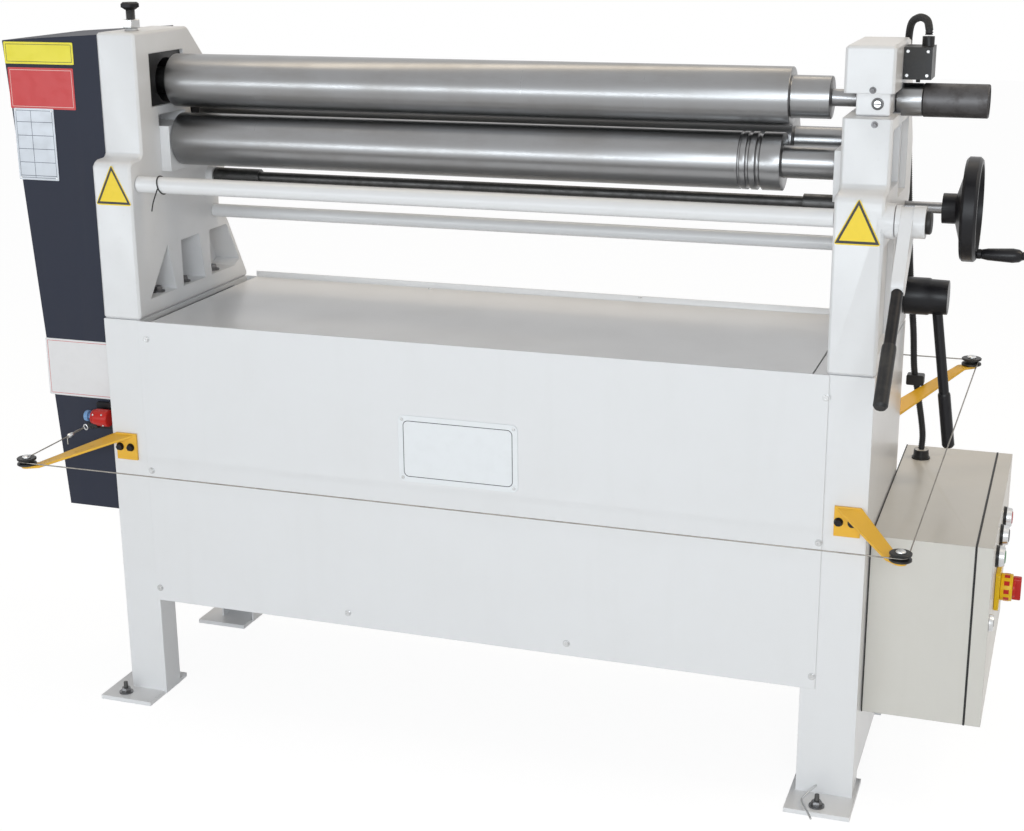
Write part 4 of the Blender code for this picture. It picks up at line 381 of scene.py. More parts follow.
@dataclass(frozen=True)
class BareMetal:
    """Plated, oiled or blackened metal with fine scratches and dull spots."""

    name: str
    colour: Colour
    worn: Colour
    roughness: float = 0.32
    worn_share: float = 0.5
    edge: float = 0.0004

    def build(self) -> bpy.types.Material:
        """Makes the material.

        Returns:
            The material.
        """
        graph = Graph(self.name)
        where = graph.place()
        patch = graph.noise(where, 45.0, 6.0, 0.65).clamped(0.45, 0.72)
        drawn = graph.place((60.0, 900.0, 60.0), (0.3, 0.2, 0.6))
        scratch = graph.noise(drawn, 1.0, 2.0).clamped(0.55, 0.75)
        graph.surface(Base_Color=graph.blend(patch * self.worn_share, self.colour, self.worn), Metallic=1.0,
                      Roughness=patch * 0.16 + scratch * 0.10 + self.roughness)
        graph.relief(graph.noise(where, 420.0, 3.0) * 0.6 + scratch * 0.4, 0.12, 0.0002, self.edge)
        return graph.material


@dataclass(frozen=True)
class Plastic:
    """Moulded plastic or rubber with a fine spark-eroded grain and dust."""

    name: str
    colour: Colour
    dust: Colour
    roughness: float = 0.38
    grain: float = 0.18
    grain_size: float = 900.0
    dust_share: float = 0.10
    edge: float = 0.0006

    def build(self) -> bpy.types.Material:
        """Makes the material.

        Returns:
            The material.
        """
        graph = Graph(self.name)
        where = graph.place()
        settled = graph.noise(where, 30.0, 5.0, 0.6).clamped(0.45, 0.78)
        graph.surface(Base_Color=graph.blend(settled * self.dust_share, self.colour, self.dust),
                      Roughness=settled * 0.16 + self.roughness, Specular_IOR_Level=0.32)
        graph.relief(graph.noise(where, self.grain_size, 2.0), self.grain, 0.0002, self.edge)
        return graph.material


@dataclass(frozen=True)
class PrintedSheet:
    """Plain printed film: a field, a border line and ruled lines with no words."""

    name: str
    field_colour: Colour
    line_colour: Colour
    centre: Point
    half: Pair
    rows: int = 0
    metallic: float = 0.0
    roughness: float = 0.35
    line: float = 0.0009
    margin: float = 0.004
    column: float = 0.0
    round: float = 0.0012
    rule_share: float = 0.6

    def build(self) -> bpy.types.Material:
        """Makes the material; the sheet faces the front, so X and Z measure it.

        Returns:
            The material.
        """
        graph = Graph(self.name)
        across, up = graph.front_plane(self.centre)
        distances = [self.half[0] - across.absolute(), self.half[1] - up.absolute()]
        inside = distances[0].lesser(distances[1]).over(self.margin)
        reach = [(self.margin + self.round - distance).greater(0.0) for distance in distances]
        corner = (reach[0] * reach[0] + reach[1] * reach[1]).power(0.5)
        ink = corner.over(self.round - self.line / 2) * corner.under(self.round + self.line / 2)
        if self.rows:
            pitch = 2 * (self.half[1] - self.margin) / (self.rows + 1)
            phase = (up + self.half[1] * 2).folded(pitch / 2)
            ink = ink + phase.under(self.line * self.rule_share) * inside
        if self.column:
            off = (across + self.half[0] * (1 - 2 * self.column)).absolute()
            ink = ink + off.under(self.line * self.rule_share) * inside
        wear = graph.film_wear()
        tinted = graph.blend(wear * 0.05, self.field_colour, DUST)
        graph.surface(Base_Color=graph.blend(ink, tinted, self.line_colour), Metallic=self.metallic,
                      Roughness=wear * 0.15 + self.roughness)
        return graph.material


DUST = tone(150, 146, 138)
WHITE_PAINT = Paint("white_enamel", tone(231, 231, 232), tone(176, 172, 160))
WHITE_CASTING = Casting("white_casting", tone(231, 231, 232), tone(170, 166, 156))
DARK_PAINT = Paint("dark_enamel", tone(42, 46, 60), tone(96, 92, 88), 0.14, 0.50, 0.30, 190.0, 0.0012, 0.0,
                   0.22)
BLACK_PAINT = Paint("black_enamel", tone(24, 24, 28), tone(84, 80, 76), 0.10, 0.32, 0.10, 200.0, 0.0012,
                    0.0, 0.28)
CABINET_PAINT = Paint("cabinet_enamel", tone(212, 209, 202), tone(158, 150, 132), 0.14, 0.38, 0.30, 230.0)
YELLOW_PAINT = Paint("yellow_enamel", tone(240, 184, 40), tone(150, 104, 24), 0.20, 0.34, 0.14)
ROLL_STEEL = GroundSteel("ground_roll_steel", tone(150, 151, 153), tone(116, 112, 106))
NECK_STEEL = GroundSteel("turned_neck_steel", tone(150, 150, 152), tone(104, 100, 94), 0.28, 520.0, 0.05)
TUBE_STEEL = BareMetal("rough_tube_steel", tone(88, 87, 88), tone(60, 56, 54), 0.46, 0.6, 0.0006)
WIRE_STEEL = BareMetal("stranded_wire", tone(150, 146, 140), tone(96, 92, 86), 0.40)
NUT_STEEL = BareMetal("dulled_nut_steel", tone(120, 120, 122), tone(70, 66, 62), 0.38)
PALE_ZINC = BareMetal("zinc_plate", tone(206, 207, 208), tone(150, 148, 142), 0.28)
DARK_STEEL = BareMetal("oiled_dark_steel", tone(92, 92, 92), tone(56, 54, 52), 0.42)
BLACK_OXIDE = BareMetal("black_oxide", tone(44, 44, 46), tone(78, 74, 70), 0.40, 0.35)
BRONZE = BareMetal("bearing_bronze", tone(190, 150, 92), tone(130, 96, 56), 0.36)
BLACK_CASTING = Casting("black_casting", tone(20, 20, 22), tone(70, 66, 62), 0.50, 0.45, 0.0012)
BLACK_PLASTIC = Plastic("black_plastic", tone(24, 24, 26), DUST)
GRIP_PLASTIC = Plastic("grip_plastic", tone(30, 30, 32), DUST, 0.46, 0.30, 700.0, 0.14)
CONDUIT_RUBBER = Plastic("conduit_plastic", tone(28, 28, 30), DUST, 0.50)
RED_PLASTIC = Plastic("red_plastic", tone(196, 34, 26), tone(120, 40, 34), 0.30)
YELLOW_PLASTIC = Plastic("yellow_plastic", tone(240, 196, 24), tone(150, 120, 40), 0.34)
BLUE_PLASTIC = Plastic("blue_plastic", tone(120, 160, 205), DUST, 0.34)
GREEN_PLASTIC = Plastic("green_plastic", tone(38, 132, 66), DUST, 0.32)
MOTOR_PAINT = Paint("motor_enamel", tone(146, 152, 158), tone(96, 92, 88), 0.25, 0.42, 0.3)
MATERIALS: dict[str, bpy.types.Material] = {}


def material_of(finish: object) -> bpy.types.Material:
    """The finish's material, built on first use.

    Args:
        finish: Surface finish.

    Returns:
        The material.
    """
    if finish.name not in MATERIALS:
        MATERIALS[finish.name] = finish.build()
    return MATERIALS[finish.name]


def dressed(obj: Object, finish: object) -> Object:
    """Gives an object its one material.

    Args:
        obj: Object to dress.
        finish: Surface finish.

    Returns:
        The object.
    """
    obj.data.materials.clear()
    obj.data.materials.append(material_of(finish))
    return obj


# Mesh building

def linked(name: str, data: bpy.types.ID) -> Object:
    """Puts new data into the scene as an object.

    Args:
        name: Object name.
        data: Mesh, camera or lamp.

    Returns:
        The object.
    """
    made = bpy.data.objects.new(name, data)
    bpy.context.scene.collection.objects.link(made)
    return made


def kept(name: str, shape: Mesh) -> bpy.types.Mesh:
    """Turns a finished bmesh into a mesh.

    Args:
        name: Mesh name.
        shape: Mesh under construction.

    Returns:
        The mesh.
    """
    data = bpy.data.meshes.new(name)
    shape.to_mesh(data)
    shape.free()
    return data


def smooth(data: bpy.types.Mesh, angle: float) -> bpy.types.Mesh:
    """Shades a mesh smooth up to the given angle.

    Args:
        data: Mesh to shade.
        angle: Sharpest angle that is shaded smooth.

    Returns:
        The mesh.
    """
    data.shade_smooth()
    data.set_sharp_from_angle(angle=angle)
    return data


def mesh_object(name: str, shape: Mesh, finish: object,
                angle: float = SMOOTH_ANGLE) -> Object:
    """Turns a finished bmesh into a smooth-shaded, dressed object."""
    bmesh.ops.recalc_face_normals(shape, faces=shape.faces)
    return dressed(linked(name, smooth(kept(name, shape), angle)), finish)


def placed(obj: Object, body: str, slot: str, *nodes: str) -> Object:
    """Lets a piece ride, and hides the nodes it stands for.

    Args:
        obj: The piece.
        body: Body that carries it.
        slot: Material slot of the part; not used.
        nodes: Frame nodes that it stands for.

    Returns:
        The object.
    """
    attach(obj, body)
    if nodes:
        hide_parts(*nodes)
    LOG.info("%s rides on %s", obj.name, body)
    return obj


def ring(shape: Mesh, centre: Vector, axis: Vector, radius: float,
         count: int) -> list[bmesh.types.BMVert]:
    """One loop of points round an axis.

    Args:
        shape: Mesh under construction.
        centre: Middle of the loop.
        axis: Axis that it runs round.
        radius: Its radius.
        count: Points round it.

    Returns:
        The loop's points.
    """
    helper = Vector((0, 0, 1)) if abs(axis.z) < 0.9 else Vector((0, 1, 0))
    side = axis.cross(helper).normalized()
    up = axis.cross(side).normalized()
    points = []
    for index in range(count):
        angle = math.tau * index / count
        points.append(shape.verts.new(centre + radius * (math.cos(angle) * side + math.sin(angle) * up)))
    return points


def skin(shape: Mesh, loops: Sequence[list[bmesh.types.BMVert]], closed: bool = False) -> None:
    """Joins loops of equal counts, and caps the ends or joins last to first.

    Args:
        shape: Mesh under construction.
        loops: Loops in order.
        closed: Whether the last loop meets the first.
    """
    pairs = list(zip(loops, loops[1:])) + ([(loops[-1], loops[0])] if closed else [])
    for first, second in pairs:
        count = len(first)
        for index in range(count):
            after = (index + 1) % count
            shape.faces.new((first[index], first[after], second[after], second[index]))
    if not closed:
        shape.faces.new(loops[0][::-1])
        shape.faces.new(loops[-1])


def lathe(name: str, origin: Sequence[float], axis: Vector, profile: Profile, finish: object,
          count: int = ROUND, closed: bool = False) -> Object:
    """A turned piece.

    Args:
        name: Object name.
        origin: Point on the axis from which the profile's distances count.
        axis: Direction of the axis.
        profile: Distance along the axis and radius, in order.
        finish: Surface finish.
        count: Points round it.
        closed: Whether the profile is a loop, as of a tube.

    Returns:
        The dressed object.
    """
    shape = bmesh.new()
    axis = Vector(axis).normalized()
    loops = [ring(shape, Vector(origin) + axis * along, axis, radius, count) for along, radius in profile]
    skin(shape, loops, closed)
    return mesh_object(name, shape, finish)


def eased(profile: Profile, radius: float, steps: int = 3) -> list[Pair]:
    """Rounds the corners of a profile by a small radius.

    Args:
        profile: Distance along the axis and radius, in order.
        radius: Radius of the rounding.
        steps: Steps of each rounding.

    Returns:
        The rounded profile.
    """
    points = [Vector(point) for point in profile]
    made = [tuple(points[0])]
    for before, here, after in zip(points, points[1:], points[2:]):
        into, out = here - before, after - here
        reach = min(radius, into.length * 0.45, out.length * 0.45)
        if into.length < 1e-7 or out.length < 1e-7 or abs(into.angle(out)) < 0.15:
            made.append(tuple(here))
            continue
        start, end = here - into.normalized() * reach, here + out.normalized() * reach
        for step in range(steps + 1):
            share = step / steps
            made.append(tuple(start.lerp(here, share).lerp(here.lerp(end, share), share)))
    made.append(tuple(points[-1]))
    return made


def torus(radius: float, wire: float) -> list[Pair]:
    """Closed profile of a ring of round wire."""
    angles = [math.tau * step / ARC_STEPS for step in range(ARC_STEPS)]
    return [(wire * math.cos(angle), radius + wire * math.sin(angle)) for angle in angles]


def tube(name: str, route: Sequence[Vector], radius: float, finish: object,
         count: int = 16) -> Object:
    """A round wire or tube along a route.

    Args:
        name: Object name.
        route: Points along its middle.
        radius: Its radius.
        finish: Surface finish.
        count: Points round it.

    Returns:
        The object.
    """
    shape = bmesh.new()
    loops = []
    side = None
    for index, point in enumerate(route):
        before, after = route[max(index - 1, 0)], route[min(index + 1, len(route) - 1)]
        along = (after - before).normalized()
        side = along.cross(Vector((0.3, 0.2, 1))) if side is None else side - along * side.dot(along)
        side = side.normalized()
        up = along.cross(side)
        loops.append([shape.verts.new(point + radius * (math.cos(a) * side + math.sin(a) * up))
                      for a in (math.tau * k / count for k in range(count))])
    skin(shape, loops)
    return mesh_object(name, shape, finish, TUBE_ANGLE)


def stacked(name: str, outline: Profile, middle: Pair, facing: int,
            levels: Profile, finish: object) -> Object:
    """A flat shape of any outline.

    Args:
        name: Object name.
        outline: Its corners, in the two directions that it doesn't face.
        middle: Point toward which a level may be drawn in.
        facing: Number of the axis that it faces.
        levels: Depth of each level and how far it is drawn in.
        finish: Surface finish.

    Returns:
        The dressed object.
    """
    first, second = [index for index in range(3) if index != facing]
    shape = bmesh.new()
    loops = []
    for depth, inset in levels:
        loop = []
        for a, b in outline:
            point = Vector((0, 0, 0))
            point[first] = a - math.copysign(inset, a - middle[0])
            point[second] = b - math.copysign(inset, b - middle[1])
            point[facing] = depth
            loop.append(shape.verts.new(point))
        loops.append(loop)
    skin(shape, loops)
    return mesh_object(name, shape, finish)


def slab(name: str, low: Sequence[float], high: Sequence[float], finish: object, corner: float = 0.002,
         facing: int = 1, ease: float = 0.0005) -> Object:
    """A flat plate with rounded corners in the plane that it faces, and eased edges.

    Args:
        name: Object name.
        low: Lowest corner.
        high: Highest corner.
        finish: Surface finish.
        corner: Radius of the corners.
        facing: Number of the axis that it faces.
        ease: Width of the eased edges.

    Returns:
        The object.
    """
    low, high = Vector(low), Vector(high)
    first, second = [index for index in range(3) if index != facing]
    outline = []
    corners = ((high, high, 0), (low, high, 1), (low, low, 2), (high, low, 3))
    for at_first, at_second, quarter in corners:
        centre_a = at_first[first] + (corner if at_first is low else -corner)
        centre_b = at_second[second] + (corner if at_second is low else -corner)
        for step in range(CORNER_STEPS + 1):
            angle = math.pi / 2 * (quarter + step / CORNER_STEPS)
            outline.append((centre_a + corner * math.cos(angle), centre_b + corner * math.sin(angle)))
    middle = (low + high) / 2
    levels = ((low[facing], ease), (low[facing] + ease, 0.0), (high[facing] - ease, 0.0),
              (high[facing], ease))
    return stacked(name, outline, (middle[first], middle[second]), facing, levels, finish)


def refined(node: str, name: str, finish: object, bevel: float) -> Object:
    """A clean copy of a frame node: merged, flat faces joined, edges eased and shaded smooth.

    Args:
        node: Frame node to copy.
        name: Object name.
        finish: Surface finish.
        bevel: Width of the eased edges.

    Returns:
        The object.
    """
    shape = bmesh.new()
    shape.from_mesh(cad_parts[node].data)
    bmesh.ops.remove_doubles(shape, verts=shape.verts, dist=MERGE_DISTANCE)
    bmesh.ops.dissolve_limit(shape, angle_limit=FLAT_ANGLE, verts=shape.verts, edges=shape.edges)
    made = dressed(linked(name, smooth(kept(name, shape), SMOOTH_ANGLE)), finish)
    step = made.modifiers.new("eased_edges", "BEVEL")
    step.width = bevel
    step.segments = 2
    step.limit_method = "ANGLE"
    step.angle_limit = BEVEL_ANGLE
    step.harden_normals = True
    return made


MACHINE_ORIGIN = Vector((-0.01765, -0.023907, 0.0))


def at(x: float, y: float, z: float) -> Vector:
    """Place given in millimetres from midway between the columns, the top roll and the floor."""
    return Vector((x, y, z)) / 1000 + MACHINE_ORIGIN


def axle(y: float, z: float) -> Vector:
    """Point on a line along X, at a place given in millimetres."""
    place = at(0, y, z)
    return Vector((0, place.y, place.z))


def framed(span: Sequence[float]) -> tuple[Point, Pair]:
    """Centre and half size of a sheet, from its left, right, bottom and top in millimetres.

    Args:
        span: Left, right, bottom and top.

    Returns:
        Centre and half size in metres.
    """
    left, right, bottom, top = span
    centre = at((left + right) / 2, 0, (bottom + top) / 2)
    return tuple(centre), ((right - left) / 2000, (top - bottom) / 2000)


# Geometry Nodes

class NodeTree:
    """A geometry tree with named inputs."""

    def __init__(self, name: str, inputs: dict[str, str]) -> None:
        """Starts a tree; inputs maps names to socket types.

        Args:
            name: Tree name.
            inputs: Name and socket type of each input.
        """
        self.tree = bpy.data.node_groups.new(name, "GeometryNodeTree")
        self.identifiers = {}
        for label, kind in {"Geometry": "NodeSocketGeometry", **inputs}.items():
            socket = self.tree.interface.new_socket(name=label, in_out="INPUT", socket_type=kind)
            self.identifiers[label] = socket.identifier
        self.tree.interface.new_socket(name="Geometry", in_out="OUTPUT", socket_type="NodeSocketGeometry")
        self.start = self.tree.nodes.new("NodeGroupInput")
        self.end = self.tree.nodes.new("NodeGroupOutput")

    def given(self, label: str) -> Socket:
        """The named input."""
        return self.start.outputs[label]

    def node(self, kind: str, settings: dict[str, object], values: dict[object, object]) -> bpy.types.Node:
        """Adds a node, sets it and links its inputs.

        Args:
            kind: Blender's type name.
            settings: Properties set before the sockets.
            values: Socket name or number to a value, a socket or a list of sockets.

        Returns:
            The node.
        """
        made = self.tree.nodes.new(kind)
        for key, value in settings.items():
            setattr(made, key, value)
        for key, value in values.items():
            for source in value if isinstance(value, list) else [value]:
                if isinstance(source, Socket):
                    self.tree.links.new(source, made.inputs[key])
                else:
                    made.inputs[key].default_value = source
        return made

    def maths(self, operation: str, first: object, second: object) -> Socket:
        """Result of one Math node."""
        return self.node("ShaderNodeMath", {"operation": operation}, {0: first, 1: second}).outputs[0]

    def raised(self, shape: bpy.types.Node, height: object) -> bpy.types.Node:
        """Moves a shape up."""
        way = self.node("ShaderNodeCombineXYZ", {}, {2: height}).outputs[0]
        return self.node("GeometryNodeTransform", {}, {"Geometry": shape.outputs[0], "Translation": way})

    def cylinder(self, sides: object, radius: object, depth: object) -> bpy.types.Node:
        """Adds a cylinder round the origin."""
        return self.node("GeometryNodeMeshCylinder", {},
                         {"Vertices": sides, "Radius": radius, "Depth": depth})

    def finish(self, geometry: Socket, material: Socket) -> None:
        """Realizes, sets the material and ends the tree.

        Args:
            geometry: Shape to end with.
            material: Material input.
        """
        real = self.node("GeometryNodeRealizeInstances", {}, {0: geometry})
        painted = self.node("GeometryNodeSetMaterial", {}, {0: real.outputs[0], "Material": material})
        self.tree.links.new(painted.outputs[0], self.end.inputs[0])

    def grow(self, name: str, points: Sequence[Vector], edges: bool, values: dict[str, object],
             finish: object, angle: float = SMOOTH_ANGLE) -> Object:
        """Runs the tree on points and keeps the result as a plain mesh.

        Args:
            name: Object name.
            points: Points that the tree works on.
            edges: Whether edges join them.
            values: Value of each named input.
            finish: Surface finish.
            angle: Sharpest angle that is shaded smooth.

        Returns:
            The object.
        """
        links = [(index, index + 1) for index in range(len(points) - 1)] if edges else []
        seed = bpy.data.meshes.new(name + "_seed")
        seed.from_pydata([tuple(point) for point in points], links, [])
        made = linked(name, seed)
        step = made.modifiers.new("grow", "NODES")
        step.node_group = self.tree
        step[self.identifiers["Material"]] = material_of(finish)
        for label, value in values.items():
            step[self.identifiers[label]] = value
        seen = made.evaluated_get(bpy.context.evaluated_depsgraph_get())
        data = bpy.data.meshes.new_from_object(seen)
        made.modifiers.clear()
        made.data = smooth(data, angle)
        return dressed(made, finish)


class Facing(Enum):
    """Turn that points a fastener's head from +Z to the side named."""

    FRONT = (math.pi / 2, 0.0, 0.0)
    BACK = (-math.pi / 2, 0.0, 0.0)
    UP = (0.0, 0.0, 0.0)


def fastener_tree() -> NodeTree:
    """Screws and bolts: a tapered head with a driver recess on a washer, one at each point.

    Returns:
        The tree.
    """
    sizes = {label: "NodeSocketFloat" for label in ("Head Radius", "Head Height", "Recess Radius",
                                                    "Washer Radius", "Washer Height")}
    tree = NodeTree("fasteners", {**sizes, "Sides": "NodeSocketInt", "Turn": "NodeSocketVector",
                                  "Material": "NodeSocketMaterial"})
    radius, height, recess, washer_radius, washer_height = (tree.given(label) for label in sizes)
    sides = tree.given("Sides")
    half = tree.maths("MULTIPLY", height, 0.5)
    lower = tree.raised(tree.cylinder(sides, radius, half), tree.maths("MULTIPLY", half, 0.5))
    cone = tree.node("GeometryNodeMeshCone", {},
                     {"Vertices": sides, "Radius Top": tree.maths("MULTIPLY", radius, CROWN_SHARE),
                      "Radius Bottom": radius, "Depth": half})
    crown = tree.raised(cone, half)
    head = tree.node("GeometryNodeMeshBoolean", {"operation": "UNION"},
                     {"Mesh 2": [lower.outputs[0], crown.outputs[0]]})
    driver = tree.raised(tree.cylinder(6, recess, height), height)
    cut = tree.node("GeometryNodeMeshBoolean", {"operation": "DIFFERENCE"},
                    {"Mesh 1": head.outputs[0], "Mesh 2": driver.outputs[0]})
    washer = tree.raised(tree.cylinder(WASHER_SIDES, washer_radius, washer_height),
                         tree.maths("MULTIPLY", washer_height, 0.5))
    whole = tree.node("GeometryNodeJoinGeometry", {},
                      {0: [tree.raised(cut, washer_height).outputs[0], washer.outputs[0]]})
    each = tree.node("GeometryNodeInstanceOnPoints", {},
                     {"Points": tree.given("Geometry"), "Instance": whole.outputs[0]})
    turned = tree.node("GeometryNodeRotateInstances", {},
                       {0: each.outputs[0], "Rotation": tree.given("Turn")})
    tree.finish(turned.outputs[0], tree.given("Material"))
    return tree


def conduit_tree() -> NodeTree:
    """A ribbed hose along a route.

    Returns:
        The tree.
    """
    tree = NodeTree("ribbed_hose", {"Radius": "NodeSocketFloat", "Groove Share": "NodeSocketFloat",
                                    "Rib Pitch": "NodeSocketFloat", "Material": "NodeSocketMaterial"})
    curve = tree.node("GeometryNodeMeshToCurve", {}, {0: tree.given("Geometry")})
    step = tree.maths("MULTIPLY", tree.given("Rib Pitch"), 1 / RIB_STEPS)
    fine = tree.node("GeometryNodeResampleCurve", {"mode": "LENGTH"},
                     {"Curve": curve.outputs[0], "Length": step})
    index = tree.node("GeometryNodeInputIndex", {}, {})
    crest = tree.maths("LESS_THAN", tree.maths("MODULO", index.outputs[0], RIB_STEPS), RIB_STEPS * 0.375)
    size = tree.node("ShaderNodeMapRange", {}, {0: crest, 3: tree.given("Groove Share"), 4: 1.0}).outputs[0]
    section = tree.node("GeometryNodeCurvePrimitiveCircle", {},
                        {"Resolution": 16, "Radius": tree.given("Radius")})
    hose = tree.node("GeometryNodeCurveToMesh", {},
                     {"Curve": fine.outputs[0], "Profile Curve": section.outputs[0], "Scale": size,
                      "Fill Caps": True})
    tree.finish(hose.outputs[0], tree.given("Material"))
    return tree


@dataclass
class Fasteners:
    """One kind of screw or bolt."""

    tree: NodeTree
    head: float = 0.0045
    height: float = 0.0028
    recess: float = 0.0018
    washer: float = 0.0060
    washer_height: float = 0.0008
    sides: int = 28
    finish: object = PALE_ZINC

    def build(self, name: str, points: Sequence[Vector], facing: Facing, body: str, slot: str) -> None:
        """Sets one at each point, on a body.

        Args:
            name: Object name.
            points: Places of the heads' seats.
            facing: Side that the heads point to.
            body: Body that carries it.
            slot: Material slot of the part.
        """
        values = {"Head Radius": self.head, "Head Height": self.height, "Recess Radius": self.recess,
                  "Washer Radius": self.washer, "Washer Height": self.washer_height, "Sides": self.sides,
                  "Turn": facing.value}
        placed(self.tree.grow(name, points, False, values, self.finish), body, slot)


# The machine's sub-assemblies

@dataclass
class Sheets:
    """Frame nodes whose shape is right: each becomes a clean, eased and finished copy."""

    body: str
    slot: str
    finish: object
    bevel: float
    nodes: tuple[str, ...]

    def build(self) -> None:
        """Copies and dresses each node."""
        for node in self.nodes:
            placed(refined(node, "dressed_" + node, self.finish, self.bevel), self.body, self.slot, node)


@dataclass
class RollSet:
    """The three ground rolls, the swing-out end of the top roll and its pull tube."""

    roll: float = 0.045
    edge: float = 0.0022
    groove_edge: float = 0.0012
    body: Pair = (-572.0, 495.0)
    lower_body: Pair = (-566.0, 485.0)
    neck: float = 0.0325
    lower_neck: float = 0.025
    neck_end: float = 555.0
    shaft: float = 0.013
    collar: float = 0.0245
    collar_span: Pair = (652.0, 690.0)
    journal: float = 0.022
    grooves: Pairs = ((421.0, 2.0), (434.0, 3.0), (450.0, 4.0))
    groove_steps: int = 8
    tube: float = 0.025
    tube_wall: float = 0.0045
    top_axis: Pair = (0.0, 1100.0)
    lower_axis: Pair = (0.0, 1000.0)
    rear_axis: Pair = (98.2, 1021.7)

    def turned(self, node: str, axis: Pair, profile: Profile, *slopes: float) -> None:
        """Builds one ground roll in place of its node."""
        made = lathe(f"{node}_turned", axle(*axis), X_AXIS, eased(profile, *slopes), ROLL_STEEL)
        placed(made, node, "ground_steel", node)

    def top(self) -> None:
        """The top roll, from its left journal to the collar."""
        low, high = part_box("top_roll")
        places = (*self.body, self.neck_end, *self.collar_span)
        left, right, neck_end, start, stop = (at(x, 0, 0).x for x in places)
        profile = [(low.x, CORE), (low.x, self.journal * 0.9), (low.x + 0.002, self.journal),
                   (left, self.journal), (left, self.roll), (right, self.roll), (right, self.neck),
                   (neck_end, self.neck), (neck_end, self.shaft), (start, self.shaft), (start, self.collar),
                   (stop, self.collar), (stop, self.shaft), (high.x, self.shaft), (high.x, CORE)]
        self.turned("top_roll", self.top_axis, profile, self.edge)

    def pull_end(self) -> None:
        """The tube that the operator pulls."""
        low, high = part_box("pull_tube")
        bore = self.tube - self.tube_wall
        profile = [(low.x, bore), (low.x, self.tube - 0.001), (low.x + 0.001, self.tube),
                   (high.x - 0.0015, self.tube), (high.x, self.tube - 0.0015), (high.x, bore + 0.0005),
                   (high.x - 0.0005, bore)]
        placed(lathe("pull_tube_turned", axle(*self.top_axis), X_AXIS, profile, TUBE_STEEL, ROUND, True),
               "top_roll", "dark_steel", "pull_tube")

    def lower(self) -> None:
        """The lower roll with its wire grooves."""
        low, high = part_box("lower_roll")
        left, right = (at(x, 0, 0).x for x in self.lower_body)
        profile = [(low.x, CORE), (low.x, self.lower_neck), (left, self.lower_neck), (left, self.roll)]
        for centre, half in self.grooves:
            for step in range(self.groove_steps + 1):
                angle = math.pi * step / self.groove_steps
                profile.append((at(centre - half * math.cos(angle), 0, 0).x,
                                self.roll - half * math.sin(angle) / 1000))
        profile += [(right, self.roll), (right, self.lower_neck), (high.x, self.lower_neck), (high.x, CORE)]
        self.turned("lower_roll", self.lower_axis, profile, self.groove_edge, 2)

    def rear(self) -> None:
        """The rear bending roll."""
        low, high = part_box("rear_roll")
        left, right = (at(x, 0, 0).x for x in self.lower_body)
        profile = [(low.x, CORE), (low.x, self.journal), (left, self.journal), (left, self.roll),
                   (right, self.roll), (right, self.journal), (high.x, self.journal), (high.x, CORE)]
        self.turned("rear_roll", self.rear_axis, profile, self.edge)

    def build(self) -> None:
        """Builds all rolls."""
        self.top()
        self.pull_end()
        self.lower()
        self.rear()


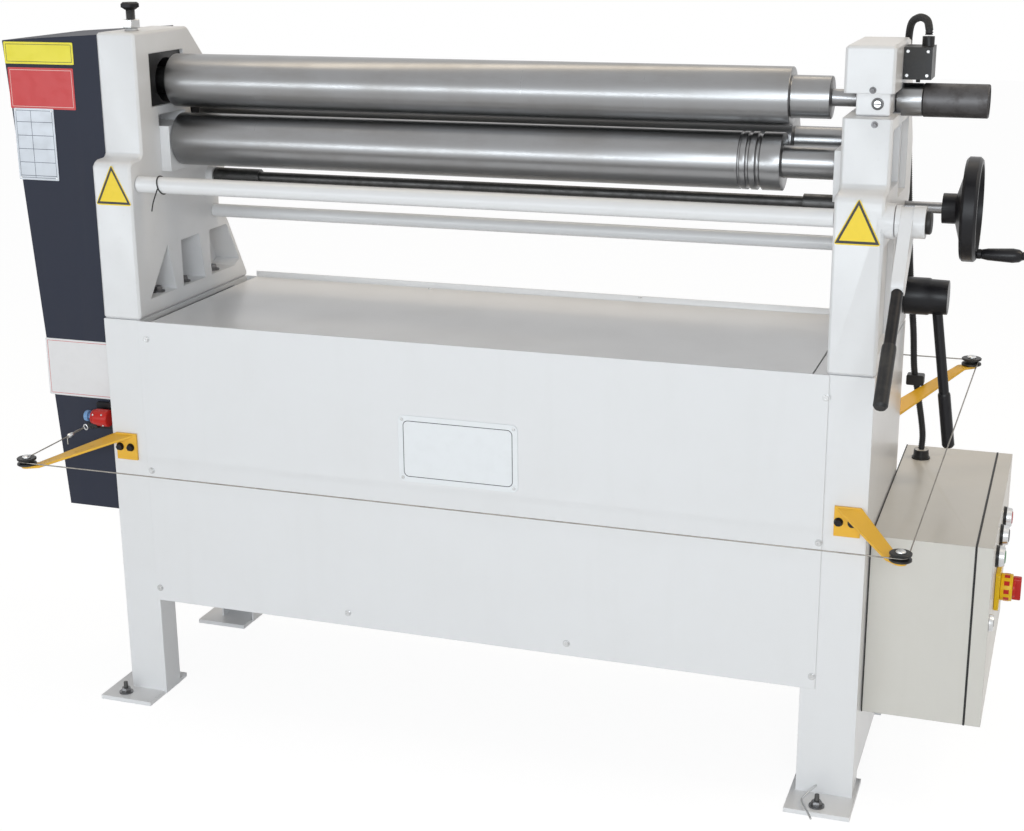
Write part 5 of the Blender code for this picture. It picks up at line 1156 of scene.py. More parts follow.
@dataclass
class FrontDress:
    """Screws, plates and bolts on the stand and the side castings."""

    tree: NodeTree
    front: float = -152.3
    screw_places: Pairs = (
        (-576, 675), (-584, 436), (-584, 214), (-215, 214), (180, 212), (586, 212), (587, 438), (588, 671))
    plate: Plate = (-111, 98, 467, 582)
    bolt_places: Pairs = (
        (-657, -176), (609, -192), (609, 284), (-657, 268))
    triangles: Pairs = ((-621, 904), (622, 904))
    triangle_half: float = 35.0
    triangle_height: float = 70.0
    corner_share: float = 0.09

    def panels(self) -> None:
        """Panel screws at the front and the back."""
        screws = Fasteners(self.tree)
        front = [at(x, self.front - 0.2, z) for x, z in self.screw_places]
        screws.build("front_panel_screws", front, Facing.FRONT, "frame", "zinc")
        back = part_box("rear_panel")[1].y
        rear = [Vector((at(x, 0, z).x, back + 0.0002, z / 1000)) for x, z in self.screw_places]
        screws.build("rear_panel_screws", rear, Facing.BACK, "frame", "zinc")

    def name_plate(self) -> None:
        """Bare riveted plate in the middle of the front panel."""
        left, right, bottom, top = self.plate
        sheet = PrintedSheet("bare_name_plate", tone(236, 238, 240), tone(38, 38, 44), *framed(self.plate),
                             roughness=0.28, line=0.0012, margin=0.0095, round=0.0085)
        placed(slab("name_plate", at(left, self.front - 1.4, bottom), at(right, self.front - 0.3, top),
                    sheet, 0.010), "frame", "zinc")
        rivets = Fasteners(self.tree, 0.0026, 0.0014, 0.0006, 0.0030, 0.0003, 20)
        columns, rows = (left + 7, right - 7), (bottom + 7, top - 7)
        spots = [at(x, self.front - 1.4, z) for x in columns for z in rows]
        rivets.build("name_plate_rivets", spots, Facing.FRONT, "frame", "zinc")

    def feet(self) -> None:
        """Anchor bolts and the bent wire hook at the right foot."""
        places = [at(x, y, 8.2) for x, y in self.bolt_places]
        nuts = Fasteners(self.tree, 0.0092, 0.0075, 0.0006, 0.0125, 0.0020, 6, NUT_STEEL)
        nuts.build("anchor_nuts", places, Facing.UP, "frame", "dark_steel")
        studs = Fasteners(self.tree, 0.0042, 0.0200, 0.0006, 0.0050, 0.0004, 20, DARK_STEEL)
        studs.build("anchor_studs", places, Facing.UP, "frame", "dark_steel")
        knots = [at(601, -149.5, 21), at(597, -158, 20), at(587, -180, 16), at(585, -190, 15),
                 at(588, -200, 14), at(600, -222, 11), at(607, -236, 9)]
        placed(tube("foot_hook", curved(knots, 6), 0.0017, PALE_ZINC), "frame", "zinc")

    def safety_triangles(self) -> None:
        """Bare yellow film triangles on both castings."""
        for index, (x, z) in enumerate(self.triangles):
            half, tall = self.triangle_half, self.triangle_height
            centre = at(x, 0, z + tall / 3)
            film = TriangleFilm(f"triangle_film_{index + 1}", tuple(centre), tall / 3000)
            corners = [at(x - half, 0, z), at(x + half, 0, z), at(x, 0, z + tall)]
            outline = []
            for k in range(3):
                here, before, after = corners[k], corners[k - 1], corners[(k + 1) % 3]
                into, out = here.lerp(before, self.corner_share), here.lerp(after, self.corner_share)
                for step in range(CORNER_STEPS + 1):
                    share = step / CORNER_STEPS
                    point = into.lerp(here, share).lerp(here.lerp(out, share), share)
                    outline.append((point.x, point.z))
            face = at(0, -150.0, 0).y
            levels = ((face - 0.0006, 0.0), (face - SEAT, 0.0))
            placed(stacked(f"safety_triangle_{index + 1}", outline, (0.0, 0.0), 1, levels, film), "frame",
                   "safety_yellow")

    def build(self) -> None:
        """Builds the whole dress."""
        self.panels()
        self.name_plate()
        self.feet()
        self.safety_triangles()


@dataclass(frozen=True)
class TriangleFilm:
    """Yellow film with a black border that follows an upright triangle."""

    name: str
    centre: Point
    inradius: float
    border: float = 0.0040
    slope: Pair = (0.894, 0.447)
    widen: float = 1.10

    def build(self) -> bpy.types.Material:
        """Makes the material.

        Returns:
            The material.
        """
        graph = Graph(self.name)
        across, up = graph.front_plane(self.centre)
        slant = across.absolute() * self.slope[0] + up * self.slope[1]
        reach = (slant * self.widen).greater(0 - up)
        inner, outer = self.inradius - self.border * 1.5, self.inradius - self.border * 0.5
        edge = reach.over(inner) * reach.under(outer)
        wear = graph.film_wear()
        field_colour = graph.blend(wear * 0.15, tone(246, 214, 36), tone(180, 150, 40))
        graph.surface(Base_Color=graph.blend(edge, field_colour, tone(24, 24, 24)),
                      Roughness=wear * 0.15 + 0.32)
        return graph.material


def curved(knots: Sequence[Vector], steps: int) -> list[Vector]:
    """A smooth line through the knots.

    Args:
        knots: Points that it passes.
        steps: Steps between two knots.

    Returns:
        The line's points.
    """
    whole = [2 * knots[0] - knots[1], *knots, 2 * knots[-1] - knots[-2]]
    line = []
    for before, here, after, beyond in zip(whole, whole[1:], whole[2:], whole[3:]):
        for step in range(steps):
            t = step / steps
            line.append(0.5 * (2 * here + (after - before) * t
                               + (2 * before - 5 * here + 4 * after - beyond) * t ** 2
                               + (3 * here - before - 3 * after + beyond) * t ** 3))
    return line + [knots[-1]]


@dataclass
class CoverDress:
    """Blank films and the riveted plate on the front of the gear cover."""

    tree: NodeTree
    face: float = -100.0
    gap: float = 0.3
    yellow: Plate = (-847.0, -710.0, 1131.0, 1168.0)
    red: Plate = (-843.0, -713.0, 1055.0, 1125.0)
    silver: Plate = (-838.0, -758.0, 932.0, 1056.0)
    white: Plate = (-816.0, -677.0, 543.0, 648.0)

    def film(self, name: str, span: Plate, sheet: PrintedSheet, slot: str,
             thick: float = 0.3) -> None:
        """One film: span is left, right, bottom, top in millimetres.

        Args:
            name: Object name.
            span: Left, right, bottom and top in millimetres.
            sheet: Printed finish.
            slot: Material slot of the part.
            thick: Thickness in millimetres.
        """
        left, right, bottom, top = span
        front, back = self.face - self.gap - thick, self.face - self.gap
        placed(slab(name, at(left, front, bottom), at(right, back, top), sheet, 0.002, 1, 0.0001), "frame",
               slot)

    def build(self) -> None:
        """Builds the films and the plate."""
        yellow = PrintedSheet("yellow_film", tone(240, 226, 50), tone(60, 56, 30), *framed(self.yellow))
        red = PrintedSheet("red_film", tone(204, 52, 54), tone(232, 196, 190), *framed(self.red))
        silver = PrintedSheet("silver_plate", tone(176, 180, 186), tone(92, 96, 104), *framed(self.silver),
                              4, 0.6, column=0.42)
        white = PrintedSheet("white_film", tone(232, 230, 230), tone(206, 90, 96), *framed(self.white))
        self.film("upper_film", self.yellow, yellow, "safety_yellow")
        self.film("lower_film", self.red, red, "signal_red")
        self.film("data_plate", self.silver, silver, "zinc", 0.8)
        self.film("notice_film", self.white, white, "frame_paint")
        left, right, bottom, top = self.silver
        rivets = Fasteners(self.tree, 0.0018, 0.0009, 0.0005, 0.0020, 0.0002, 16)
        spots = [at(x, self.face - 1.1, z) for x in (left + 4, right - 4) for z in (bottom + 4, top - 4)]
        rivets.build("data_plate_rivets", spots, Facing.FRONT, "frame", "zinc")
        screws = Fasteners(self.tree, 0.0045, 0.0028, 0.0019, 0.0062)
        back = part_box("gear_cover")[1].y
        spots = [Vector((at(-690, 0, 0).x, back + SEAT, z)) for z in (0.42, 0.75, 1.10)]
        screws.build("cover_screws_back", spots, Facing.BACK, "frame", "zinc")


@dataclass
class CabinetDress:
    """Buttons, bezels, lock, door seal, gland and main switch of the control cabinet, and a black band of
    painted shade in the gap at the stand.
    """

    face: float = 845.0
    button_row: tuple[float, ...] = (0.0, 100.0, 190.0)
    button_height: float = 390.0
    finishes: tuple = (GREEN_PLASTIC, BLACK_PLASTIC, RED_PLASTIC)
    lock_place: Pair = (-70.0, 305.0)
    stem: float = 0.0068
    cap: float = 0.0105
    cap_start: float = 0.0163
    block_half: Pair = (13.0, 20.0)
    block_span: Pair = (820.0, 830.7)
    sleeve_span: Pair = (830.6, 842.9)
    seal_and_shade_low: Pair = (-100.5, 138.5)
    seal_and_shade_high: Pair = (390.5, 439.5)
    seal_and_shade_wall: float = 0.0026
    windows: int = 10

    def button(self, number: int, y: float, finish: Plastic) -> None:
        """Cap, collar and rim of one push button, and the contact block behind it.

        Args:
            number: Its number, from one.
            y: Place along Y in millimetres.
            finish: Surface finish.
        """
        origin = axle(y, self.button_height)
        low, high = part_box(f"button_{number}")
        under = low.x + self.cap_start
        cap = [(low.x, CORE), (low.x, self.stem), (under, self.stem), (under, self.cap),
               (high.x - 0.001, self.cap), (high.x, 0.0092), (high.x - 0.0006, 0.006),
               (high.x - 0.0006, CORE)]
        door = at(self.face, 0, 0).x + SEAT
        collar = [(door, 0.0153), (door, 0.0178), (door + 0.0045, 0.0172), (door + 0.0045, 0.0153)]
        rim = [(door + 0.0048, 0.0153), (door + 0.0048, 0.0168), (door + 0.0125, 0.0155),
               (door + 0.0135, 0.0142), (door + 0.0130, 0.0125), (door + 0.0094, 0.0122),
               (door + 0.0093, 0.0150)]
        start, stop = (at(x, 0, 0).x for x in self.sleeve_span)
        sleeve = [(start, 0.0076), (start, 0.0124), (stop, 0.0124), (stop, 0.0076)]
        placed(lathe(f"button_cap_{number}", origin, X_AXIS, eased(cap, 0.0006, 2), finish, MEDIUM_ROUND),
               f"button_{number}", "black_plastic", f"button_{number}")
        for label, shape, look, slot in (("collar", collar, BLACK_PLASTIC, "black_plastic"),
                                         ("rim", rim, PALE_ZINC, "zinc"),
                                         ("sleeve", sleeve, BLACK_PLASTIC, "black_plastic")):
            placed(lathe(f"button_{label}_{number}", origin, X_AXIS, shape, look, MEDIUM_ROUND, True),
                   "box_door", slot)
        wide, tall = self.block_half
        block = slab(f"button_block_{number}", at(self.block_span[0], y - wide, self.button_height - tall),
                     at(self.block_span[1], y + wide, self.button_height + tall), BLACK_PLASTIC, 0.003, 0)
        placed(block, "box_door", "black_plastic")

    def build(self) -> None:
        """Builds each control on the door, the door seal, a black band of painted shade in the gap at the
        stand, the gland and the switch.
        """
        for index, (y, finish) in enumerate(zip(self.button_row, self.finishes)):
            self.button(index + 1, y, finish)
        self.lock()
        self.seal_and_shade_band("cabinet_gasket", 817.6, 820.6)
        # Painted shade: this black band stands for the shadow in the gap between the stand side and the
        # cabinet.
        self.seal_and_shade_band("stand_gap_painted_shade", 659.6, 661.4)
        self.gland()
        self.isolator()

    def lock(self) -> None:
        """Plated quarter-turn lock; its key slot is a thin black bar of painted shade."""
        place = at(self.face, *self.lock_place)
        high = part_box("box_door")[1].x
        proud = place.x + 0.0066
        shape = [(place.x + SEAT, CORE), (place.x + SEAT, 0.0113), (place.x + SEAT, 0.0135),
                 (place.x + 0.003, 0.0130), (proud, 0.0118), (proud, CORE)]
        shape = [(min(along, high), radius) for along, radius in shape]
        placed(lathe("door_lock", axle(*self.lock_place), X_AXIS, shape, PALE_ZINC, MEDIUM_ROUND),
               "box_door", "zinc")
        # Painted shade: no key slot is cut; a thin black bar on the face stands for the shade in it.
        placed(slab("lock_slot_painted_shade", (proud - 0.0002, place.y - 0.001, place.z - 0.006),
                    (proud + 0.0004, place.y + 0.001, place.z + 0.006), BLACK_OXIDE, 0.0008, 0, 0.0001),
               "box_door", "dark_steel")

    def isolator(self) -> None:
        """Main switch: a yellow ring with windows and a red handle."""
        low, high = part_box("main_switch")
        middle = (low + high) / 2
        outer = (high.z - low.z) / 2
        origin = (0, middle.y, middle.z)
        barrel = [(low.x, CORE), (low.x, outer), (low.x + 0.0175, outer), (low.x + 0.0190, outer - 0.0015),
                  (low.x + 0.0190, CORE)]
        placed(lathe("switch_ring", origin, X_AXIS, eased(barrel, 0.0008, 2), YELLOW_PLASTIC, MEDIUM_ROUND),
               "main_switch", "safety_yellow", "main_switch")
        shape = bmesh.new()
        for step in range(self.windows):
            angle = math.tau * step / self.windows
            spoke = Vector((0, math.cos(angle), math.sin(angle)))
            side = Vector((0, -math.sin(angle), math.cos(angle)))
            start = Vector((low.x + 0.0055, middle.y, middle.z))
            loops = []
            for reach in (outer - 0.001, outer + 0.0002):
                loops.append([shape.verts.new(start + spoke * reach + side * across + Vector((along, 0, 0)))
                              for across, along in ((-0.0036, 0), (0.0036, 0), (0.0036, 0.0085),
                                                    (-0.0036, 0.0085))])
            skin(shape, loops)
        placed(mesh_object("switch_ring_windows", shape, RED_PLASTIC), "main_switch", "signal_red")
        hub = [(low.x + 0.0190, CORE), (low.x + 0.0190, outer * 0.72), (low.x + 0.0235, outer * 0.70),
               (low.x + 0.0235, CORE)]
        placed(lathe("switch_hub", origin, X_AXIS, eased(hub, 0.0006, 2), RED_PLASTIC, MEDIUM_ROUND),
               "main_switch", "signal_red")
        placed(slab("switch_handle", (low.x + 0.0190, middle.y - 0.0075, middle.z - outer * 0.86),
                    (high.x, middle.y + 0.0075, middle.z + outer * 0.86), RED_PLASTIC, 0.004, 0, 0.001),
               "main_switch", "signal_red")

    def seal_and_shade_band(self, name: str, left: float, right: float) -> None:
        """Black band round the cabinet between two places along X: the door seal, and also painted shade
        for the gap against the stand.

        Args:
            name: Object name.
            left: Lower X in millimetres.
            right: Upper X in millimetres.
        """
        shape = bmesh.new()
        low, high = at(left, *self.seal_and_shade_low), at(right, *self.seal_and_shade_high)
        wall = self.seal_and_shade_wall
        loops = []
        corners = ((low.y, low.z, wall, wall), (high.y, low.z, -wall, wall),
                   (high.y, high.z, -wall, -wall), (low.y, high.z, wall, -wall))
        for y, z, in_y, in_z in corners:
            section = ((low.x, y, z), (high.x, y, z), (high.x, y + in_y, z + in_z),
                       (low.x, y + in_y, z + in_z))
            loops.append([shape.verts.new(point) for point in section])
        skin(shape, loops, True)
        placed(mesh_object(name, shape, CONDUIT_RUBBER), "frame", "conduit_rubber")

    def gland(self) -> None:
        """Black screwed gland where the hose enters, and the hose clip on the stand."""
        place = at(692, 318, 439)
        shape = [(0.0003, 0.0118), (0.0003, 0.0160), (0.0028, 0.0160), (0.0030, 0.0136), (0.0150, 0.0130),
                 (0.0166, 0.0118)]
        placed(lathe("hose_gland", place, Z_AXIS, shape, BLACK_PLASTIC, SMALL_ROUND, True), "frame",
               "black_plastic")
        placed(slab("hose_clip", at(660, 300, 576), at(690, 321, 594), BLACK_PLASTIC, 0.003), "frame",
               "black_plastic")


@dataclass
class TripGuard:
    """Four sloping arms with their pulley pins, the wire round them, and the pull switch."""

    tree: NodeTree
    roots: tuple[Plate, ...] = (
        (-630, -150.3, 501, 453), (629, -150.3, 501, 453), (629, 242.3, 532, 651), (-630, 242.3, 532, 651))
    tips: tuple[Point, ...] = (
        (-775, -245, 457), (720, -240, 457), (765, 350, 607), (-765, 350, 607))
    sheet: float = 4.0
    half: float = 20.0
    tip_half: float = 10.0
    tip_shape: Pairs = (
        (-20.0, 1.12), (0.0, 1.0), (5.0, 0.87), (8.6, 0.5), (10.0, 0.06))
    groove: float = 10.9
    wire: float = 0.0011
    wire_lift: float = 7.1
    wire_start: Point = (-731.5, -130.0, 494.0)
    wire_end: Point = (-702.5, 300.5, 614.1)

    def pulley(self, index: int) -> None:
        """One grooved pulley on its pin.

        Args:
            index: Its number, from nought.
        """
        x, y, top = self.tips[index]
        pin = [(0.0, CORE), (0.0, 0.0040), (0.0142, 0.0040), (0.0142, 0.0078), (0.0156, 0.0074),
               (0.0176, 0.0048), (0.0182, CORE)]
        placed(lathe(f"pulley_pin_{index + 1}", at(x, y, top), Z_AXIS, pin, PALE_ZINC, SMALL_ROUND),
               "frame", "zinc")
        name = f"pulley_{index + 1}"
        low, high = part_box(name)
        rim, tall = (high.x - low.x) / 2, high.z - low.z
        half = [(0.0, 0.0044), (0.0, rim - 0.0012), (0.0010, rim), (0.0036, rim - 0.0004), (0.0056, 0.0096)]
        wheel = half + [(tall - along, radius) for along, radius in reversed(half)]
        spot = at(x, y, 0)
        placed(lathe(f"{name}_turned", (spot.x, spot.y, low.z), Z_AXIS, wheel, BLACK_PLASTIC, MEDIUM_ROUND,
                     True), name, "black_plastic", name)

    def arm(self, index: int) -> None:
        """One arm: a plate on the stand and a tapering strip that slopes to the pulley.

        Args:
            index: Its number, from nought.
        """
        root_x, face, hinge, far = self.roots[index]
        x, y, top = self.tips[index]
        start, tip = Vector((root_x, face)), Vector((x, y))
        along = (tip - start).normalized()
        across = Vector((-along.y, along.x))
        reach = (tip - start).length
        first, second = Vector((root_x - self.half, face)), Vector((root_x + self.half, face))
        if (first - start).dot(across) < 0:
            first, second = second, first
        stations = [(first, second, hinge)]
        for distance, share in self.tip_shape:
            middle, half = start + along * (reach + distance), self.tip_half * share
            stations.append((middle + across * half, middle - across * half, top - 0.2))
        shape = bmesh.new()
        loops = []
        for left, right, height in stations:
            below = height - self.sheet
            section = ((left, height), (right, height), (right, below), (left, below))
            loops.append([shape.verts.new(at(point.x, point.y, z)) for point, z in section])
        skin(shape, loops)
        low, high = sorted((hinge, far))
        depth = face + math.copysign(self.sheet, face)
        west, east = root_x - self.half, root_x + self.half
        outline = ((west, face), (east, face), (east, depth), (west, depth))
        levels = (low - (self.sheet if face > 0 else 0), high)
        skin(shape, [[shape.verts.new(at(px, py, z)) for px, py in outline] for z in levels])
        placed(mesh_object(f"trip_arm_{index + 1}_bent", shape, YELLOW_PAINT), "frame", "safety_yellow",
               f"trip_arm_{index + 1}")

    def bolts(self) -> None:
        """Bolt heads on the plates, and the post that holds the wire's far end."""
        front = [at(root_x + offset, -154.5, 476) for root_x in (-630, 629) for offset in (-13, 8)]
        back = [at(root_x + offset, 246.5, z) for root_x in (629, -630)
                for offset, z in ((0, 575), (0, 630))]
        bolt = Fasteners(self.tree, 0.0066, 0.0052, 0.0005, 0.0072, 0.0008, 6, BLACK_OXIDE)
        bolt.build("arm_bolts_front", front, Facing.FRONT, "frame", "dark_steel")
        bolt.build("arm_bolts_back", back, Facing.BACK, "frame", "dark_steel")
        x, y, z = self.wire_end
        post = [(-0.0320, CORE), (-0.0320, 0.0040), (0.0070, 0.0040), (0.0070, CORE)]
        placed(lathe("wire_post", at(x + 5.5, y - 2.7, z), Z_AXIS, post, NUT_STEEL, SMALL_ROUND), "frame",
               "zinc")

    def route(self) -> list[Vector]:
        """From the pull switch round the outside of all four pulleys to the post.

        Returns:
            The route's points.
        """
        corners = [Vector((x, y, top + self.wire_lift)) for x, y, top in self.tips]
        stops = [Vector(self.wire_start), *corners, Vector(self.wire_end)]
        line = [stops[0]]
        for before, here, after in zip(stops, stops[1:], stops[2:]):
            into, out = here - before, after - here
            first, last = math.atan2(-into.x, into.y), math.atan2(-out.x, out.y)
            while last < first:
                last += math.tau
            for step in range(ARC_STEPS + 1):
                angle = first + (last - first) * step / ARC_STEPS
                line.append(here + Vector((math.cos(angle), math.sin(angle), 0)) * self.groove)
        return [at(*point) for point in [*line, stops[-1]]]

    def pull_switch(self) -> None:
        """Red switch body on a black bracket, with its boot, eye and wire clamp."""
        placed(slab("pull_switch_bracket", at(-716, -108, 489), at(-678, -100.4, 538), BLACK_OXIDE, 0.002),
               "frame", "dark_steel")
        centre = axle(-123.5, 515)
        mouth, rear = at(-709.8, 0, 0).x, at(-679, 0, 0).x
        barrel = [(rear, CORE), (rear, 0.0155), (mouth, 0.0155), (mouth, CORE)]
        collar = [(mouth + 0.0003, 0.0106), (mouth + 0.0003, 0.0142), (mouth - 0.0030, 0.0134),
                  (mouth - 0.0030, 0.0106)]
        placed(lathe("pull_switch_collar", centre, X_AXIS, collar, RED_PLASTIC, MEDIUM_ROUND, True),
               "frame", "signal_red")
        placed(lathe("pull_switch_body", centre, X_AXIS, eased(barrel, 0.0045, 4), RED_PLASTIC,
                     MEDIUM_ROUND), "frame", "signal_red", "rope_switch")
        start, stop = at(-703, -127, 505), at(-722, -129.5, 499)
        boot = [(0.0, CORE), (0.0, 0.0085), (0.004, 0.0088), (0.006, 0.0070), (0.009, 0.0078),
                (0.011, 0.0062), (0.014, 0.0068), (0.0195, 0.0040), (0.0195, CORE)]
        placed(lathe("pull_switch_boot", start, stop - start, boot, CONDUIT_RUBBER, SMALL_ROUND), "frame",
               "conduit_rubber")
        centre = at(-727, -130, 496.6)
        eye = torus(0.0046, 0.0014)
        placed(lathe("wire_eye", centre, Vector((0.2, 0.9, 0.1)), eye, PALE_ZINC, SMALL_ROUND, True),
               "frame", "zinc")
        line = self.route()
        spot = line[0].lerp(line[1], 0.22)
        way = (line[1] - line[0]).normalized()
        clamp = [(-0.005, CORE), (-0.005, 0.0036), (-0.003, 0.0042), (0.003, 0.0042), (0.005, 0.0036),
                 (0.005, CORE)]
        placed(lathe("wire_clamp", spot, way, clamp, PALE_ZINC, 8), "frame", "zinc")
        side = Vector((0.0, 0.0, 0.0022))
        back = [spot + side * 0.4, spot.lerp(line[0], 0.5) + side, line[0] + side * 0.6]
        placed(tube("wire_return", back, self.wire, WIRE_STEEL, 10), "frame", "zinc")
        tail = [spot + Vector((0.0, -0.001, 0.0)), spot + Vector((-0.004, -0.004, -0.006)),
                spot + Vector((-0.003, -0.006, -0.016))]
        placed(tube("wire_tail", curved(tail, 6), self.wire, WIRE_STEEL, 10), "frame", "zinc")
        heads = ((-706, 523), (-689, 524), (-688, 504))
        dots = [at(x, -123.6 - math.sqrt(15.5 ** 2 - (z - 515) ** 2), z) for x, z in heads]
        screws = Fasteners(self.tree, 0.0016, 0.0010, 0.0005, 0.0018, 0.0001, 16)
        screws.build("pull_switch_screws", dots, Facing.FRONT, "frame", "zinc")

    def build(self) -> None:
        """Builds the guard."""
        for index in range(len(self.roots)):
            self.arm(index)
            self.pulley(index)
        self.bolts()
        wire = tube("trip_wire_strand", self.route(), self.wire, WIRE_STEEL, 10)
        placed(wire, "frame", "zinc", "trip_wire")
        self.pull_switch()


@dataclass
class TopDress:
    """Adjusting screw, plug of the bearing block, tube tie and other small parts."""

    tree: NodeTree

    def adjusting_screw(self) -> None:
        """Black hexagon screw with a plated lock nut on a cast boss."""
        x, y = -626.0, -47.0
        boss = [(0.0, CORE), (0.0, 0.0120), (0.0032, 0.0104), (0.0040, 0.0100), (0.0040, CORE)]
        placed(lathe("screw_boss", at(x, y, 1186.1), Z_AXIS, boss, WHITE_CASTING, MEDIUM_ROUND), "frame",
               "frame_paint")
        nut = [(0.0, CORE), (0.0, 0.0150), (0.0010, 0.0163), (0.0132, 0.0163), (0.0142, 0.0148),
               (0.0142, CORE)]
        placed(lathe("lock_nut", at(x, y, 1190.4), Z_AXIS, nut, PALE_ZINC, 6), "frame", "zinc")
        thread = [(0.0, CORE)]
        for turn in range(36):
            thread += [(0.002 * turn + 0.0002, 0.0072), (0.002 * turn + 0.0012, 0.0080)]
        thread.append((0.0725, CORE))
        placed(lathe("screw_thread", at(x, y, 1149.4), Z_AXIS, thread, DARK_STEEL, SMALL_ROUND), "frame",
               "dark_steel", "adjusting_screw")
        head = [(0.0, CORE), (0.0, 0.0095), (0.0035, 0.0150), (0.0045, 0.0174), (0.0098, 0.0174),
                (0.0126, 0.0136), (0.0132, CORE)]
        placed(lathe("screw_head", at(x, y, 1220.2), Z_AXIS, head, BLACK_OXIDE, 6), "frame", "dark_steel")

    def block_plug(self) -> None:
        """Plug in the front of the bearing block, and the two studs beside its slot."""
        place = at(631.5, -74.3, 1100)
        rim = [(0.0, CORE), (0.0, 0.0090), (0.0014, 0.0086), (0.0016, 0.0066), (0.0008, 0.0062),
               (0.0008, CORE)]
        placed(lathe("plug_rim", place, -Y_AXIS, rim, DARK_STEEL, MEDIUM_ROUND), "top_swing", "dark_steel")
        core = [(0.0010, CORE), (0.0010, 0.0056), (0.0024, 0.0052), (0.0026, CORE)]
        placed(lathe("plug_screw", place, -Y_AXIS, core, PALE_ZINC, MEDIUM_ROUND), "top_swing", "zinc")
        # Painted shade: no slot is cut in the plug screw; a thin black bar on its face stands for the shade
        # in the slot.
        placed(slab("plug_slot_painted_shade", (place.x - 0.0050, place.y - 0.0029, place.z - 0.0008),
                    (place.x + 0.0050, place.y - 0.0024, place.z + 0.0008), BLACK_OXIDE, 0.0004, 1, 0.0001),
               "top_swing", "dark_steel")
        studs = Fasteners(self.tree, 0.0034, 0.0040, 0.0016, 0.0050, 0.0008, 6, NUT_STEEL)
        studs.build("slot_studs", [at(628, -108.3, 1123), at(633, -108.3, 1074)], Facing.FRONT, "frame",
                    "dark_steel")

    def tube_tie(self) -> None:
        """Black tie round the torsion tube, with its loose end."""
        loop = torus(0.0153, 0.0011)
        placed(lathe("tube_tie", at(-541, -125, 938), Vector((1, 0.0, 0.25)), loop, CONDUIT_RUBBER,
                     MEDIUM_ROUND, True), "pinch_lever", "conduit_rubber")
        knots = [at(-541, -140, 934), at(-543, -143, 926), at(-549, -144, 910), at(-553, -143, 896)]
        placed(tube("tube_tie_end", curved(knots, 6), 0.0011, CONDUIT_RUBBER, 8), "pinch_lever",
               "conduit_rubber")

    def lever_cap(self) -> None:
        """Black cap on the end of the pinch shaft."""
        cap = [(0.0, CORE), (0.0, 0.0172), (0.0060, 0.0172), (0.0080, 0.0150), (0.0082, CORE)]
        placed(lathe("pinch_shaft_cap", at(716.7, -125, 938), X_AXIS, eased(cap, 0.0008, 2), BLACK_PLASTIC,
                     MEDIUM_ROUND), "pinch_lever", "black_plastic")

    def casting_bolts(self) -> None:
        """Bolts in the feet of the castings, and the screws of the limit switch."""
        bolt = Fasteners(self.tree, 0.0095, 0.0080, 0.0006, 0.0130, 0.0020, 6, NUT_STEEL)
        feet = ((-606, -55), (-606, 35), (-606, 143), (606, 36), (606, 143))
        bolt.build("casting_bolts", [at(x, y, 736.2) for x, y in feet], Facing.UP, "frame", "dark_steel")
        lip = Fasteners(self.tree, 0.0034, 0.0018, 0.0006, 0.0036, 0.0003, 20)
        lip.build("table_lip_screws", [at(-185, 185, 717.2), at(199, 225, 717.2)], Facing.UP, "frame",
                  "zinc")
        small = Fasteners(self.tree, 0.0020, 0.0012, 0.0008, 0.0024, 0.0002, 20)
        small.build("limit_switch_screws", [at(x, -20.3, z) for x in (665, 694) for z in (1137, 1172)],
                    Facing.FRONT, "frame", "zinc")

    def build(self) -> None:
        """Builds all of them."""
        self.adjusting_screw()
        self.block_plug()
        self.tube_tie()
        self.lever_cap()
        self.casting_bolts()


@dataclass
class Hose:
    """Ribbed conduit from the limit switch down to the cabinet."""

    tree: NodeTree
    radius: float = 0.0058
    groove_share: float = 0.84
    rib_pitch: float = 0.0036
    route: tuple[Point, ...] = ((690.5, 12, 1194.0), (690.3, 13, 1203), (684, 34, 1214), (668, 70, 1215),
                                (652, 115, 1198), (646, 165, 1140), (648, 212, 1030), (654, 236, 900),
                                (660, 262, 780), (668, 290, 680), (672, 306, 606), (680, 314, 560),
                                (691.8, 318, 490), (692, 318, 456))

    def build(self) -> None:
        """Builds the hose."""
        line = curved([at(*point) for point in self.route], 10)
        sizes = {"Radius": self.radius, "Groove Share": self.groove_share, "Rib Pitch": self.rib_pitch}
        hose = self.tree.grow("switch_hose", line, True, sizes, CONDUIT_RUBBER, HOSE_ANGLE)
        placed(hose, "frame", "conduit_rubber", "switch_conduit")


# Studio

